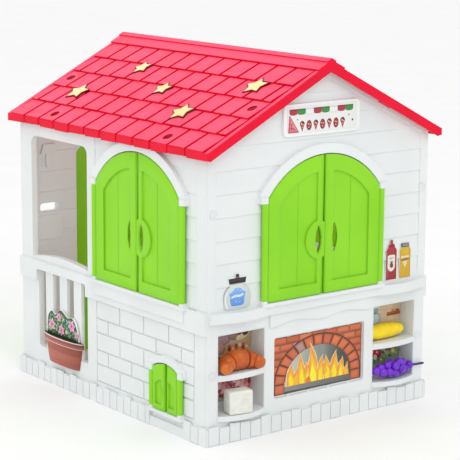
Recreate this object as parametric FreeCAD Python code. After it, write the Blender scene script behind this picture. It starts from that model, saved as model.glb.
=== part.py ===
import FreeCAD, Part
import math
import os

# A child's plastic playhouse.  Millimetres, +Z up.
# Origin: middle of the footprint, on the floor.  The kitchen gable faces -Y, the porch wall faces -X.
# Every wall is drawn in its own frame, seen from outside: u runs to the right, v runs into the
# house from the wall's outer face (so relief has a negative v), z runs up.

V = FreeCAD.Vector

# ---------------------------------------------------------------- driving dimensions
wall_width = 875.0             # across the outer faces of the two side walls
wall_depth = 1034.0            # across the outer faces of the two gable walls
ridge_height = 1123.0          # top of the roof slope at the ridge
eave_height = 885.0            # top of the roof slope at the eave
eave_overhang = 27.6           # roof past the side walls
gable_overhang = 33.0          # roof past the gable walls
wall_thickness = 20.0
cladding_depth = 4.0           # relief of the boards and bricks
board_pitch = 69.0             # height of one clapboard
board_start = 407.5            # lower edge of the lowest whole clapboard
board_tuck = 0.8               # how far a clapboard's upper edge still stands proud
inner_groove_half = 2.0        # grooves on the walls' inner faces
inner_groove_depth = 1.8
bite = 1.0                     # how far a cut runs past a face, and a joined piece into its neighbour

# corner posts, part of the side walls, lapped by the gable walls
post_width = 33.0              # across the house
post_depth = 45.0              # along the house
panel_lap = 8.0                # thickness of a gable wall where it laps over a post
corner_board = 31.0            # flat strip down the edge of a gable wall
rake_board = 26.0              # flat strip under the roof along a gable wall
post_gap = 0.5                 # between a post and the thick part of a gable wall

# skirt of short upright planks round the foot of every wall
skirt_relief = 10.0
skirt_height = 55.0
plank_pitch = 39.0
plank_gap = 2.6
plank_step = 4.0               # how unevenly the planks end
plank_lean = 1.6
plank_foot = 1.2               # how unevenly they start
plank_relief = 3.0             # how far they stand out of the plain skirt

# band round the side walls at table height
band_low = 336.5
band_high = 405.0
band_relief = 10.0

# arched openings: shutters, pet door and back door are all built from these
hinge_pin_radius = 4.0
pin_clearance = 0.05           # radial, a running fit
pin_length = 9.0
pin_hole_spare = 2.0           # hole past the end of a pin
barrel_end_gap = 0.6
barrel_side_gap = 2.0          # from a leaf's outer edge to its barrel
barrel_wall_gap = 1.0          # from a barrel to the wall's face
barrel_low_inset = 7.0         # barrel's lower end above the leaf's
barrel_high_inset = 13.0       # barrel's upper end below the spring of the arch
trim_past_barrel = 8.0
trim_foot = 20.0               # height of the trim's foot over a barrel
leaf_front = 15.0              # outer face of a closed leaf, out from the wall's face
leaf_back = 2.0                # inner face of a closed leaf, out from the wall's face
leaf_gap = 3.0                 # between the two leaves of a pair
leaf_lap = 14.0                # how far a leaf covers the edge of its opening
trim_gap = 4.0                 # between a leaf's arch and its trim
trim_lip = 2.0                 # how far the trim's feet stand out past a closed leaf
neck_lap = 6.0                 # how far a barrel's neck reaches into its leaf
neck_inset = 2.0               # from the leaf's outer face to the neck
panel_sink = 6.0               # depth of a leaf's sunk panel
panel_back_sink = 2.0          # depth of the same panel on the inner face
groove_width = 2.6
groove_depth = 1.2             # past the sunk panel
panel_side = 31.0              # from the meeting line to a leaf's panel
panel_outer = 42.0             # from a leaf's hinge edge to its panel
panel_foot = 36.0
panel_crown = 48.0             # from the leaf's arch to its panel
rebate_width = 13.0            # set-back strip where two leaves meet
rebate_depth = 7.0
slot_above_foot = 170.0        # middle of a shutter's finger slot
slot_half_width = 13.0
slot_half_height = 46.0
boss_slot_offset = 25.0        # slot in a raised boss, from the meeting line
lens_slot_offset = 42.0        # plain slot, from the meeting line
boss_rim = 38.0
boss_tip = 15.0

shutter_half = 220.0           # from the middle of a shutter pair to a leaf's outer edge
shutter_bottom = 411.0
shutter_below_eave = 45.0      # apex of the shutters under the eave
shutter_rise = 115.0           # height of the shutters' arch
shutter_barrel = 10.0          # radius of the hinge barrels
shutter_trim = 30.0            # width of the arched trim
window_from_corner = 341.0     # middle of the left wall's window, from the kitchen corner

pet_half = 62.0
pet_bottom = 64.0
pet_spring = 194.0
pet_apex = 211.0
pet_barrel = 9.0
pet_trim = 21.0
pet_from_corner = 193.0        # middle of the pet door, from the kitchen corner
pet_panel_side = 18.0
pet_panel_outer = 12.0
pet_panel_foot = 16.0
pet_panel_top = 8.0
pet_slot_offset = 17.0
pet_slot_above_foot = 60.0
pet_slot_half_width = 6.0
pet_slot_half_height = 15.0
pet_threshold = 12.0           # height of the ledge under the pet door
pet_step = 30.0                # height of the plain step under it
pet_opening_foot = 8.0
doorway_margin = 6.0           # from the pet door's barrels to the skirt's planks

door_half = 246.0                # from the middle of the back door to a leaf's outer edge
door_bottom = 20.0
door_below_eave = 25.0
door_rise = 115.0
door_panel_foot = 40.0
lock_rail_low = 417.0          # rail between the door's two panels
lock_rail_high = 487.0
door_slot_offset = 18.0
door_slot_half_width = 8.0
door_slot_half_height = 30.0

sill_gap = 2.0                 # under a shutter
sill_height = 11.0
sill_relief = 22.0
sill_past_barrel = 10.0
apron_inset = 12.0
apron_relief = 15.0
apron_foot = 22.0              # from the band's lower edge to the apron

# porch opening and balustrade, in the left wall
porch_from_window = 61.0       # from the porch to the window's hinge axis
porch_from_corner = 68.0       # from the porch to the far corner
porch_below_eave = 65.0
porch_corner = 26.0
porch_post = 50.0              # plain strip beside the porch
rail_top = 414.0
rail_rise = 6.0                # how much higher the rail meets the window's side
rail_crown = 18.0
rail_low = 376.0
baluster_low = 112.0
baluster_from_porch = 36.0     # from the porch's far edge to the balusters' gap
baluster_width = 45.0
baluster_gap = 39.75
baluster_front = 2.0           # front of the balusters, in from the wall's face
baluster_thickness = 12.0
baluster_corner = 8.0          # of the gap that they stand in

# bricks in the left and right walls
brick_from_corner = 61.5
brick_low = 68.0
brick_tall = 58.0
brick_short = 46.0
brick_rows = 5
brick_length = 130.6
brick_joint = 5.0

# kitchen gable: shelves, counter and oven
shelf_width = 183.0
shelf_post_gap = 4.5           # between a shelf unit and the corner post
shelf_skin = 4.0
shelf_depth = 62.0
shelf_floor = 85.0
shelf_mid_low = 192.0
shelf_mid_high = 210.0
shelf_ceiling = 331.0
shelf_bottom = 66.0
mid_shelf_bulge = 14.0
low_shelf_bulge = 28.0
counter_low = 371.0
counter_relief = 14.0
counter_bulge = 31.0
counter_inset = 6.0
mantel_low = 329.0
mantel_wave = 12.0
mantel_relief = 6.0
mantel_inset = 14.0            # from a shelf unit to the mantel's end
oven_side = 35.0               # from the oven's recess to a shelf unit
oven_low = 101.0
oven_high = 293.0
oven_recess = 9.0
oven_corner = 9.0
oven_plate = 6.0
oven_plate_gap = 0.4           # round the plate, in its recess
oven_print_side = 3.0          # from the recess to the printed sheet, at its ends
oven_print_margin = 5.6        # and above and below it
clip_count = 4
clip_half = 6.0
clip_reach = 5.0
clip_thickness = 4.0

# sign over the kitchen shutters
sign_middle = -12.0
sign_width = 300.0
sign_height = 97.0
sign_below_roof = 26.6           # from the roof's underside to the sign's upper corners
sign_thickness = 8.0
sign_corner = 16.0
sign_border = 13.0             # at the ends of the printed sheet
sign_edge = 8.0                # above and below it
sticker = 0.8                  # thickness of a printed sheet

# printed jar and bottles on the wall, standing on the sill
jar_from_corner = 111.0
jar_radius = 50.0
jar_middle = 440.0
jar_foot = 405.5
jar_shoulder = 480.0
jar_neck_half = 26.0
jar_lid_half = 33.0
jar_lid_low = 482.0
jar_lid_high = 500.0
jar_knob_half = 7.0
jar_knob_high = 512.0
bottle_foot = 409.5
bottle_half = 23.0
bottle_slope = 14.0            # height of the shoulder
red_bottle_from_corner = 146.5
red_bottle_shoulder = 500.0
red_bottle_top = 540.0
red_bottle_neck = 6.0
yellow_bottle_from_corner = 87.5
yellow_bottle_shoulder = 495.0
yellow_bottle_top = 524.0
yellow_bottle_neck = 15.0

# printed sheets behind the niches
niche_upper_foot = 20.0
niche_lower_foot = 22.0
niche_headroom = 4.0

# planter on the balusters, and the printed plants behind its rim
pot_from_middle = 8.0          # towards the window
pot_foot = 76.0
pot_rim_low = 152.0
pot_rim_high = 172.0
pot_rim_half = 118.0
pot_shoulder = 8.0             # from the rim's end to the pot's side
pot_foot_half = 88.0
pot_depth = 22.0
pot_foot_inset = 6.0
pot_rim_lip = 4.0
plants_from_middle = 4.0
plants_half = 98.0
plants_top = 262.0
plants_thickness = 3.0
clip_gap = 0.2                 # between the planter and the balusters' face

# play food
toy_rest = 0.4                 # from a toy to its shelf
croissant_bulges = 7
croissant_radius = 32.0
croissant_taper = 15.0         # how much thinner its horns are
croissant_taper_curve = 1.5
croissant_half = 70.0
croissant_turn = 1.25          # half of the angle that it bends through, in radians
croissant_horn_curve = 1.6
croissant_middle = 92.5        # from the shelf unit's far side
croissant_back = 26.0
croissant_horn = 28.0          # how far the horns reach forward
corn_length = 158.0
corn_radius = 25.0
corn_inset = 2.0
corn_swell = 1.01              # the ear's widest, over its radius
corn_back_gap = 3.0
bunch_length = 166.0
bunch_radius = 32.0
bunch_inset = 4.0
bunch_middle = 2.0
stem_radius = 3.5
stem_length = 50.0
stem_forward = 14.0
stem_inset = 6.0                 # how far into the bunch the stem starts
cheese_width = 80.0
cheese_depth = 56.0
cheese_height = 72.0
cheese_from_side = 30.0
cheese_corner = 5.0
cheese_front = 20.0              # how far its near corner stands past the wall's face
cheese_turn = 11.0               # how much further its other front corner reaches
cheese_back = 27.0               # its rear corners, out from the shelf

# wall screws
screw_inset = 21.0
screw_low = 212.0
screw_below_eave = 188.0       # the upper wall screws
screw_cap_radius = 14.0
cap_depth = 2.5                # how far a cap sinks in
cap_face = 2.0                 # how far it stands out
cap_rim = 3.0
cap_swirl = 8.0
cap_swirl_half = 1.2
cap_swirl_sink = 0.4

# letter slot in the back wall
slot_place = 0.5                # across the plain wall between the door's trim and the corner
slot_share = 0.55                # of that wall's width
slot_low = 547.0
slot_high = 575.0
slot_corner = 9.0
slot_frame = 12.0
slot_frame_relief = 3.0
letter_box_share = 0.76
letter_box_height = 82.0
letter_box_drop = 14.0
letter_box_corner = 16.0
lamp_above_slot = 168.0
lamp_relief_depth = 6.0
lamp_share = 0.68                # of the letter box's half width, for the lamp's shade
lamp_shade_height = 34.0
lamp_stem_height = 52.0
lamp_overlap = 4.0               # of the stem under the shade

# roof
roof_skin = 12.0               # from the top of a tile to the underside
tile_rows = 5
tiles_per_row = 12
tile_groove = 12.0
tile_base = 5.0                # depth of the grooves between tiles
tile_lift = 4.0                # how far a tile's lower edge stands up
tile_drop = 1.5                # how far a tile's upper edge sinks
ridge_band = 57.0              # plain band along the ridge
eave_drop = 25.0
eave_step = 1.5                # how unevenly the eave's tiles end
eave_skew = 1.2
eave_inset = 2.5               # from the tiles' ends back to the plain drop behind them
past_ridge = 20.0                # each half is made this much long, then cut at the ridge
ridge_roll = 16.0              # half width of the raised ridge
tile_wobble = 1.6
rim_thickness = 8.0
rim_depth = 28.0
rake_strip = 16.0
rake_drop = 1.0                # how much the strip lies under the tiles
screw_recess_radius = 16.0
screw_head_height = 2.5
screw_head_gap = 4.0           # round a screw's head, in its recess
low_screw_row = 0.42           # places of the roof screws up the slope, in rows of tiles
high_screw_row = 2.55
boss_half = 24.0               # block under a gable screw
boss_width = 18.0
boss_height = 13.0
roof_spare = 60.0              # how far the roof's trimming blocks reach past it
star_large = 47.0
star_small = 38.0
star_waist = 0.56              # inner points over outer points
star_relief = 1.4

# ---------------------------------------------------------------- derived values
half_width = wall_width / 2
half_depth = wall_depth / 2
roof_half_length = half_depth + gable_overhang
roof_run = half_width + eave_overhang
roof_rise = ridge_height - eave_height
roof_angle = math.atan2(roof_rise, roof_run)
roof_slope = math.hypot(roof_run, roof_rise)
underside_drop = roof_skin / math.cos(roof_angle)
tile_field = roof_slope - ridge_band
row_length = tile_field / tile_rows
tile_half_length = roof_half_length - rake_strip
tile_pitch = 2 * tile_half_length / tiles_per_row
wall_top = eave_height + eave_overhang * math.tan(roof_angle) - underside_drop
pin_hole_radius = hinge_pin_radius + pin_clearance
shutter_apex = eave_height - shutter_below_eave
shutter_spring = shutter_apex - shutter_rise
door_apex = eave_height - door_below_eave
door_spring = door_apex - door_rise
sill_high = shutter_bottom - sill_gap
sill_low = sill_high - sill_height
side_window_offset = half_depth - window_from_corner
pet_offset = half_depth - pet_from_corner
shutter_axis = shutter_half + shutter_barrel + barrel_side_gap
porch_near = side_window_offset - shutter_axis - porch_from_window
porch_far = porch_from_corner - half_depth
porch_top = eave_height - porch_below_eave
baluster_far = porch_far + baluster_from_porch
baluster_near = porch_near - 2
baluster_pitch = baluster_width + baluster_gap
baluster_count = max(1, round((baluster_near - baluster_far - baluster_gap) / baluster_pitch))
brick_near = half_depth - brick_from_corner
brick_far = porch_near + porch_post
shelf_far = half_width - post_width - shelf_post_gap
shelf_near = shelf_far - shelf_width
oven_half = shelf_near - oven_side
screw_high = eave_height - screw_below_eave
door_side = door_half + 2 * shutter_barrel + barrel_side_gap + trim_past_barrel
free_wall = half_width - corner_board - door_side
slot_middle = door_side + slot_place * free_wall
slot_half = slot_share * free_wall / 2
letter_box_half = letter_box_share * free_wall / 2
sign_reach = sign_width / 2 + abs(sign_middle)
sign_high = ridge_height - roof_rise * sign_reach / roof_run - underside_drop - sign_below_roof
sign_low = sign_high - sign_height


# ---------------------------------------------------------------- shapes in a wall's frame
def box(u0, u1, v0, v1, z0, z1):
    return Part.makeBox(u1 - u0, v1 - v0, z1 - z0, V(u0, v0, z0))


def prism(points, direction):
    wire = Part.makePolygon(points + [points[0]])
    return Part.Face(wire).extrude(direction)


def prism_uz(points, v0, v1):
    return prism([V(u, v0, z) for u, z in points], V(0, v1 - v0, 0))


def prism_vz(points, u0, u1):
    return prism([V(u0, v, z) for v, z in points], V(u1 - u0, 0, 0))


def upright(radius, u, v, z0, z1):
    return Part.makeCylinder(radius, z1 - z0, V(u, v, z0))


def disc(radius, u, z, v0, v1):
    return Part.makeCylinder(radius, v1 - v0, V(u, v0, z), V(0, 1, 0))


def join(shapes):
    first, rest = shapes[0], shapes[1:]
    if not rest:
        return first
    return first.multiFuse(rest).removeSplitter()


def cut(shape, tools):
    return shape.cut(Part.makeCompound(tools)) if tools else shape


def rounded_box(u0, u1, v0, v1, z0, z1, radius):
    block = box(u0, u1, v0, v1, z0, z1)
    edges = [e for e in block.Edges if abs(e.Vertexes[0].Y - e.Vertexes[1].Y) > 1e-6]
    return block.makeFillet(min(radius, (u1 - u0) / 2.1, (z1 - z0) / 2.1), edges)


def arch(half, low, spring, apex, v0, v1, middle=0.0):
    left, right = middle - half, middle + half
    edges = [
        Part.LineSegment(V(left, v0, low), V(right, v0, low)).toShape(),
        Part.LineSegment(V(right, v0, low), V(right, v0, spring)).toShape(),
        Part.Arc(V(right, v0, spring), V(middle, v0, apex), V(left, v0, spring)).toShape(),
        Part.LineSegment(V(left, v0, spring), V(left, v0, low)).toShape(),
    ]
    return Part.Face(Part.Wire(edges)).extrude(V(0, v1 - v0, 0))


def arch_radius(half, spring, apex):
    rise = apex - spring
    return (half * half + rise * rise) / (2 * rise)


def bulged(u0, u1, v_end, v_middle, z0, z1):
    """A shelf edge, curved out in plan from v_end at its ends to v_middle."""
    middle = (u0 + u1) / 2
    edges = [
        Part.Arc(V(u0, v_end, z0), V(middle, v_middle, z0), V(u1, v_end, z0)).toShape(),
        Part.LineSegment(V(u1, v_end, z0), V(u1, 0, z0)).toShape(),
        Part.LineSegment(V(u1, 0, z0), V(u0, 0, z0)).toShape(),
        Part.LineSegment(V(u0, 0, z0), V(u0, v_end, z0)).toShape(),
    ]
    return Part.Face(Part.Wire(edges)).extrude(V(0, 0, z1 - z0))


# ---------------------------------------------------------------- placing a wall on its side
def on_side(shape, side):
    turns = {"front": 0, "back": 180, "left": -90, "right": 90}
    shifts = {
        "front": V(0, -half_depth, 0),
        "back": V(0, half_depth, 0),
        "left": V(-half_width, 0, 0),
        "right": V(half_width, 0, 0),
    }
    placed = shape.copy()
    placed.rotate(V(0, 0, 0), V(0, 0, 1), turns[side])
    placed.translate(shifts[side])
    return placed


def mirrored(shape):
    return shape.mirror(V(0, 0, 0), V(1, 0, 0))


# ---------------------------------------------------------------- wall relief
def clapboards(u0, u1, low, high):
    """Lapped boards: each stands proud at its lower edge and leans back to the next."""
    rows = []
    inside = cladding_depth + bite
    first = math.floor((low - board_start) / board_pitch)
    last = math.ceil((high - board_start) / board_pitch)
    for row in range(first, last):
        z0 = board_start + row * board_pitch
        z1 = z0 + board_pitch
        profile = [(0.0, z0), (cladding_depth - board_tuck, z1), (inside, z1), (inside, z0)]
        rows.append(prism_vz(profile, u0, u1))
    return join(rows).common(box(u0, u1, -bite, inside, low, high))


def skirt(u0, u1, doorways=()):
    """Short upright planks with uneven ends, left out across the doorways."""
    count = max(1, round((u1 - u0) / plank_pitch))
    pitch = (u1 - u0) / count
    parts = [box(u0, u1, plank_relief - skirt_relief, 0, 0, skirt_height - plank_step)]
    for index in range(count):
        left = u0 + index * pitch + plank_gap / 2
        right = left + pitch - plank_gap
        top = skirt_height + plank_step * math.sin(2.4 * index + u0)
        lean = plank_lean * math.sin(5.1 * index + 1)
        foot = plank_foot * (1 + math.sin(3.3 * index))
        outline = [(left, foot), (right, foot / 2), (right, top + lean), (left, top - lean)]
        parts.append(prism_uz(outline, -skirt_relief, plank_relief - skirt_relief + bite))
    planks = join(parts)
    gaps = [box(a, b, -skirt_relief - bite, bite, -bite, 2 * skirt_height) for a, b in doorways]
    return cut(planks, gaps)


def bricks(u0, u1, low, band):
    parts = []
    columns = max(1, round((u1 - u0) / brick_length))
    column = (u1 - u0) / columns
    z0 = low
    for row in range(brick_rows):
        height = brick_tall if row % 2 == 0 else brick_short
        shift = 0 if row % 2 == 0 else column / 2
        top = min(z0 + height, band)
        for index in range(columns + 1):
            left = max(u0, u0 + index * column - shift)
            right = min(u1, u0 + (index + 1) * column - shift)
            if right - left > brick_joint * 2:
                half = brick_joint / 2
                parts.append(box(left + half, right - half, 0, cladding_depth + bite, z0 + half, top - half))
        z0 = top
    return parts


def inner_grooves(u0, u1, low, high):
    """Fine grooves on the inner face, at the clapboards' pitch."""
    tools = []
    inside = wall_thickness + bite / 2
    z = low
    while z < high:
        profile = [(inside, z - inner_groove_half), (wall_thickness - inner_groove_depth, z),
                   (inside, z + inner_groove_half)]
        tools.append(prism_vz(profile, u0, u1))
        z += board_pitch
    return tools


# ---------------------------------------------------------------- hinged leaves and their trim
class Pair:
    """The sizes that a pair of leaves, its opening, its trim and its hinge seats share."""

    def __init__(self, half, low, spring, apex, barrel, trim, middle):
        self.half = half
        self.low = low
        self.spring = spring
        self.apex = apex
        self.barrel = barrel
        self.trim = trim
        self.middle = middle
        self.axis_u = half + barrel + barrel_side_gap
        self.axis_v = -(barrel + barrel_wall_gap)
        self.barrel_low = low + barrel_low_inset
        self.barrel_high = spring - barrel_high_inset
        self.radius = arch_radius(half, spring, apex)
        self.arch_middle = apex - self.radius


shutters = Pair(shutter_half, shutter_bottom, shutter_spring, shutter_apex, shutter_barrel, shutter_trim, 0.0)
side_shutters = Pair(shutter_half, shutter_bottom, shutter_spring, shutter_apex, shutter_barrel,
                     shutter_trim, side_window_offset)
pet_door = Pair(pet_half, pet_bottom, pet_spring, pet_apex, pet_barrel, pet_trim, pet_offset)
back_door = Pair(door_half, door_bottom, door_spring, door_apex, shutter_barrel, shutter_trim, 0.0)


def opening(pair, low=None):
    """The hole in the wall behind a pair of leaves."""
    bottom = pair.low + leaf_lap if low is None else low
    return arch(pair.half - leaf_lap, bottom, pair.spring - leaf_lap / 2, pair.apex - leaf_lap,
                -sill_relief - bite, wall_thickness + bite, pair.middle)


def trim(pair):
    """Arched trim round the top of a pair, with a foot over each barrel that takes its pin."""
    outer = pair.radius + trim_gap + pair.trim
    inner = pair.radius + trim_gap
    foot_low = pair.barrel_high + barrel_end_gap
    ring = disc(outer, 0, pair.arch_middle, bite - leaf_front, cladding_depth)
    ring = ring.cut(disc(inner, 0, pair.arch_middle, -leaf_front, cladding_depth + bite))
    reach = pair.axis_u + pair.barrel + trim_past_barrel
    above = pair.apex + trim_gap + pair.trim + bite
    ring = ring.common(box(-reach, reach, -leaf_front, cladding_depth + bite, foot_low, above))
    parts = [ring]
    for side in (-1, 1):
        inside = side * (pair.half + barrel_side_gap)
        axis = side * pair.axis_u
        outside = side * reach
        top = foot_low + trim_foot
        low_u, high_u = sorted((inside, outside))
        parts.append(box(low_u, high_u, pair.axis_v, cladding_depth, foot_low, top))
        low_u, high_u = sorted((axis, outside))
        parts.append(box(low_u, high_u, -leaf_front - trim_lip, cladding_depth, foot_low, top))
        parts.append(upright(pair.barrel, axis, pair.axis_v, foot_low, top))
    body = join(parts)
    hole_top = foot_low + pin_length + pin_hole_spare
    holes = [upright(pin_hole_radius, side * pair.axis_u, pair.axis_v, foot_low - bite, hole_top)
             for side in (-1, 1)]
    body = cut(body, holes)
    body.translate(V(pair.middle, 0, 0))
    return body


def knuckles(pair, base):
    """Small bosses under the barrels, with the lower pins' holes."""
    top = pair.barrel_low - barrel_end_gap
    parts = []
    for side in (-1, 1):
        u = pair.middle + side * pair.axis_u
        boss = upright(pair.barrel, u, pair.axis_v, base, top)
        boss = boss.fuse(box(u - pair.barrel, u + pair.barrel, pair.axis_v, cladding_depth, base, top))
        parts.append(boss)
    return parts


def knuckle_holes(pair):
    top = pair.barrel_low - barrel_end_gap
    return [upright(pin_hole_radius, pair.middle + side * pair.axis_u, pair.axis_v,
                    top - pin_length - pin_hole_spare, top + bite) for side in (-1, 1)]


def leaf(pair, panels, grips, rebated):
    """One leaf, hinged at its right-hand edge; mirrored for a left-hand leaf."""
    inner = leaf_gap / 2
    plate = arch(pair.half, pair.low, pair.spring, pair.apex, -leaf_front, -leaf_back)
    plate = plate.common(box(inner, pair.half, -leaf_front - bite, 0, pair.low, pair.apex))
    if rebated:
        plate = plate.cut(box(inner - bite, inner + rebate_width, -leaf_front - bite,
                              rebate_depth - leaf_front, pair.low - bite, pair.apex + bite))
    cuts = []
    for left, right, low, high, boards in panels:
        cuts.append(panel_field(pair, left, right, low, high, -leaf_front, panel_sink))
        cuts.append(panel_field(pair, left, right, low, high, -leaf_back - panel_back_sink, panel_back_sink))
        for fraction in boards:
            u = left + fraction * (right - left)
            cuts.append(panel_field(pair, u - groove_width / 2, u + groove_width / 2, low + bite, high - bite,
                                    -leaf_front, panel_sink + groove_depth))
    plate = cut(plate, cuts)
    for raised, middle, z, half_w, half_h in grips:
        if raised:
            boss = grip_outline(middle, z, half_w + boss_rim, half_h + boss_tip, -leaf_front, -leaf_back)
            whole = box(inner, pair.half, -leaf_front, -leaf_back, pair.low, pair.apex)
            plate = plate.fuse(boss.common(whole))
        plate = plate.cut(grip_outline(middle, z, half_w, half_h, -leaf_front - bite, 0))
    axis = pair.axis_u
    barrel = upright(pair.barrel, axis, pair.axis_v, pair.barrel_low, pair.barrel_high)
    neck = box(pair.half - neck_lap, axis, neck_inset - leaf_front, -leaf_back - bite,
               pair.barrel_low, pair.barrel_high)
    top_pin = upright(hinge_pin_radius, axis, pair.axis_v, pair.barrel_high - bite,
                      pair.barrel_high + pin_length)
    low_pin = upright(hinge_pin_radius, axis, pair.axis_v, pair.barrel_low - pin_length,
                      pair.barrel_low + bite)
    return join([plate, barrel, neck, top_pin, low_pin])


def panel_field(pair, left, right, low, high, face, depth):
    """A sunk field whose top follows the leaf's arch."""
    field = box(left, right, face, face + depth, low, high)
    under_arch = disc(pair.radius - panel_crown, 0, pair.arch_middle, face, face + depth)
    below = box(0, pair.half, face, face + depth, low - bite, max(low, min(high, pair.spring - panel_crown)))
    return field.common(under_arch.fuse(below))


def grip_outline(middle, z, half_w, half_h, v0, v1):
    """A lens-shaped finger slot."""
    top = V(middle, v0, z + half_h)
    low = V(middle, v0, z - half_h)
    right = Part.Arc(top, V(middle + half_w, v0, z), low).toShape()
    left = Part.Arc(low, V(middle - half_w, v0, z), top).toShape()
    return Part.Face(Part.Wire([right, left])).extrude(V(0, v1 - v0, 0))


def placed_leaf(pair, side, hand, panels, grips, rebated):
    shape = leaf(pair, panels, grips, rebated)
    if hand < 0:
        shape = mirrored(shape)
    shape.translate(V(pair.middle, 0, 0))
    return on_side(shape, side)


# ---------------------------------------------------------------- roof
def roof_place(shape):
    placed = shape.copy()
    placed.rotate(V(0, 0, 0), V(0, 1, 0), -math.degrees(roof_angle))
    placed.translate(V(-roof_run, 0, eave_height))
    return placed


def tile(s0, s1, y0, y1, wobble):
    """One tile: its lower edge stands up, its upper edge tucks down; drawn as slope, length, height."""
    deep = -tile_base - bite
    profile = [V(s0 + wobble, y0, deep), V(s0 + wobble, y0, tile_lift),
               V(s1, y0, -tile_drop), V(s1, y0, deep)]
    block = prism(profile, V(0, y1 - y0, 0))
    before = s0 - tile_groove
    skewed = [V(before, y0, deep), V(s0 + wobble, y0, deep), V(s0 - wobble, y1, deep), V(before, y1, deep)]
    return block.cut(prism(skewed, V(0, 0, tile_lift + bite - deep)))


def roof_tiles():
    parts = []
    for row in range(tile_rows):
        s0 = row * row_length
        s1 = s0 + row_length - bite
        shift = 0 if row % 2 == 0 else tile_pitch / 2
        for index in range(tiles_per_row + 1):
            y0 = max(-tile_half_length, -tile_half_length + index * tile_pitch - shift)
            y1 = min(tile_half_length, -tile_half_length + (index + 1) * tile_pitch - shift)
            if y1 - y0 > tile_groove * 2:
                wobble = tile_wobble * math.sin(2.3 * index + 1.9 * row)
                parts.append(tile(s0, s1, y0 + tile_groove / 2, y1 - tile_groove / 2, wobble))
    return parts


def roof_half():
    base = box(0, roof_slope + past_ridge, -roof_half_length, roof_half_length, -roof_skin, -tile_base)
    parts = [base]
    parts += roof_tiles()
    parts.append(box(tile_field, roof_slope + past_ridge, -roof_half_length, roof_half_length,
                     -tile_base - bite, tile_lift))
    parts.append(box(roof_slope - ridge_roll, roof_slope + past_ridge, -roof_half_length, roof_half_length,
                     0, 2 * tile_lift))
    for end in (-1, 1):
        edge = end * roof_half_length
        strip_low, strip_high = sorted((edge, edge - end * rake_strip))
        rim_low, rim_high = sorted((edge, edge - end * rim_thickness))
        parts.append(box(0, roof_slope + past_ridge, strip_low, strip_high, -tile_base - bite, -rake_drop))
        parts.append(box(0, roof_slope + roof_spare, rim_low, rim_high, -rim_depth, -tile_base))
    slab = roof_place(join(parts))
    slab = slab.common(box(-roof_run, 0, -roof_half_length - bite, roof_half_length + bite,
                           eave_height - eave_drop, ridge_height + roof_spare))
    drops = [box(eave_inset - roof_run, rim_thickness - roof_run, -roof_half_length, roof_half_length,
                 eave_height - eave_drop + 3 * eave_step, eave_height)]
    for index in range(tiles_per_row):
        y0 = -tile_half_length + index * tile_pitch + tile_groove / 2
        y1 = y0 + tile_pitch - tile_groove
        if index == 0:
            y0 = -roof_half_length
        if index == tiles_per_row - 1:
            y1 = roof_half_length
        low = eave_height - eave_drop + eave_step * (1 + math.sin(2.1 * index))
        skew = eave_skew * (1 + math.sin(1.3 * index))
        outline = [V(-roof_run, y0, low + skew), V(-roof_run, y1, low),
                   V(-roof_run, y1, eave_height), V(-roof_run, y0, eave_height)]
        drops.append(prism(outline, V(rim_thickness, 0, 0)))
    bosses = [boss_under(s, y) for s, y in roof_screw_points() if abs(y) > half_depth - post_depth]
    half = join([slab] + drops + bosses)
    recess_height = tile_base + 2 * tile_lift + bite
    return cut(half, [roof_place(Part.makeCylinder(screw_recess_radius, recess_height, V(s, y, -tile_base)))
                      for s, y in roof_screw_points()])


def roof_screw_points():
    low_row = row_length * low_screw_row
    mid_row = row_length * high_screw_row
    inner_y = tile_pitch * (tiles_per_row / 2 - 2.5)
    outer_y = tile_pitch * (tiles_per_row / 2 - 0.5)
    return [(low_row, inner_y), (low_row, -inner_y), (mid_row, outer_y), (mid_row, -outer_y)]


def boss_under(s, y):
    """Block under a gable screw, just outside the gable wall."""
    inside = math.copysign(half_depth + bite, y)
    outside = math.copysign(half_depth + bite + boss_width, y)
    low, high = sorted((inside, outside))
    foot = -roof_skin - boss_height
    return roof_place(box(s - boss_half, s + boss_half, low, high, foot, bite - roof_skin))


def star(radius, s, y, turn, low, high):
    points = []
    for index in range(10):
        reach = radius if index % 2 == 0 else radius * star_waist
        angle = math.radians(turn + 36 * index)
        points.append(V(s + reach * math.cos(angle), y + reach * math.sin(angle), low))
    return prism(points, V(0, 0, high - low))


def star_places():
    """Slope distance, distance along the house, radius and turn of each star."""
    return [
        (0.365 * tile_field, 0.634 * roof_half_length, star_large, 8),
        (0.747 * tile_field, 0.382 * roof_half_length, star_small, 25),
        (0.551 * tile_field, -0.032 * roof_half_length, star_small, 12),
        (0.345 * tile_field, -0.428 * roof_half_length, star_large, 20),
        (0.735 * tile_field, -0.709 * roof_half_length, star_large, 15),
    ]


def roof_stars(half):
    stars = []
    for s, y, radius, turn in star_places():
        block = roof_place(star(radius, s, y, turn, -tile_base - bite / 2, tile_lift + star_relief))
        piece = block.cut(half)
        stars.append(max(piece.Solids, key=lambda solid: solid.Volume))
    return Part.makeCompound(stars)


def roof_screws():
    heads = []
    radius = screw_recess_radius - screw_head_gap
    slot = radius - screw_head_gap
    top = screw_head_height - tile_base
    for s, y in roof_screw_points():
        head = Part.makeCylinder(radius, screw_head_height, V(s, y, -tile_base))
        for long, wide in ((slot, bite), (bite, slot)):
            head = head.cut(box(s - long, s + long, y - wide, y + wide, top - bite, top + bite))
        heads.append(roof_place(head))
    return heads


# ---------------------------------------------------------------- walls
def gable_outline(width_half, margin=0.0):
    apex = ridge_height - underside_drop - margin
    shoulder = wall_top - margin
    lift = (half_width - width_half) * math.tan(roof_angle)
    return [(-width_half, 0), (width_half, 0), (width_half, shoulder + lift), (0, apex),
            (-width_half, shoulder + lift)]


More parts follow.
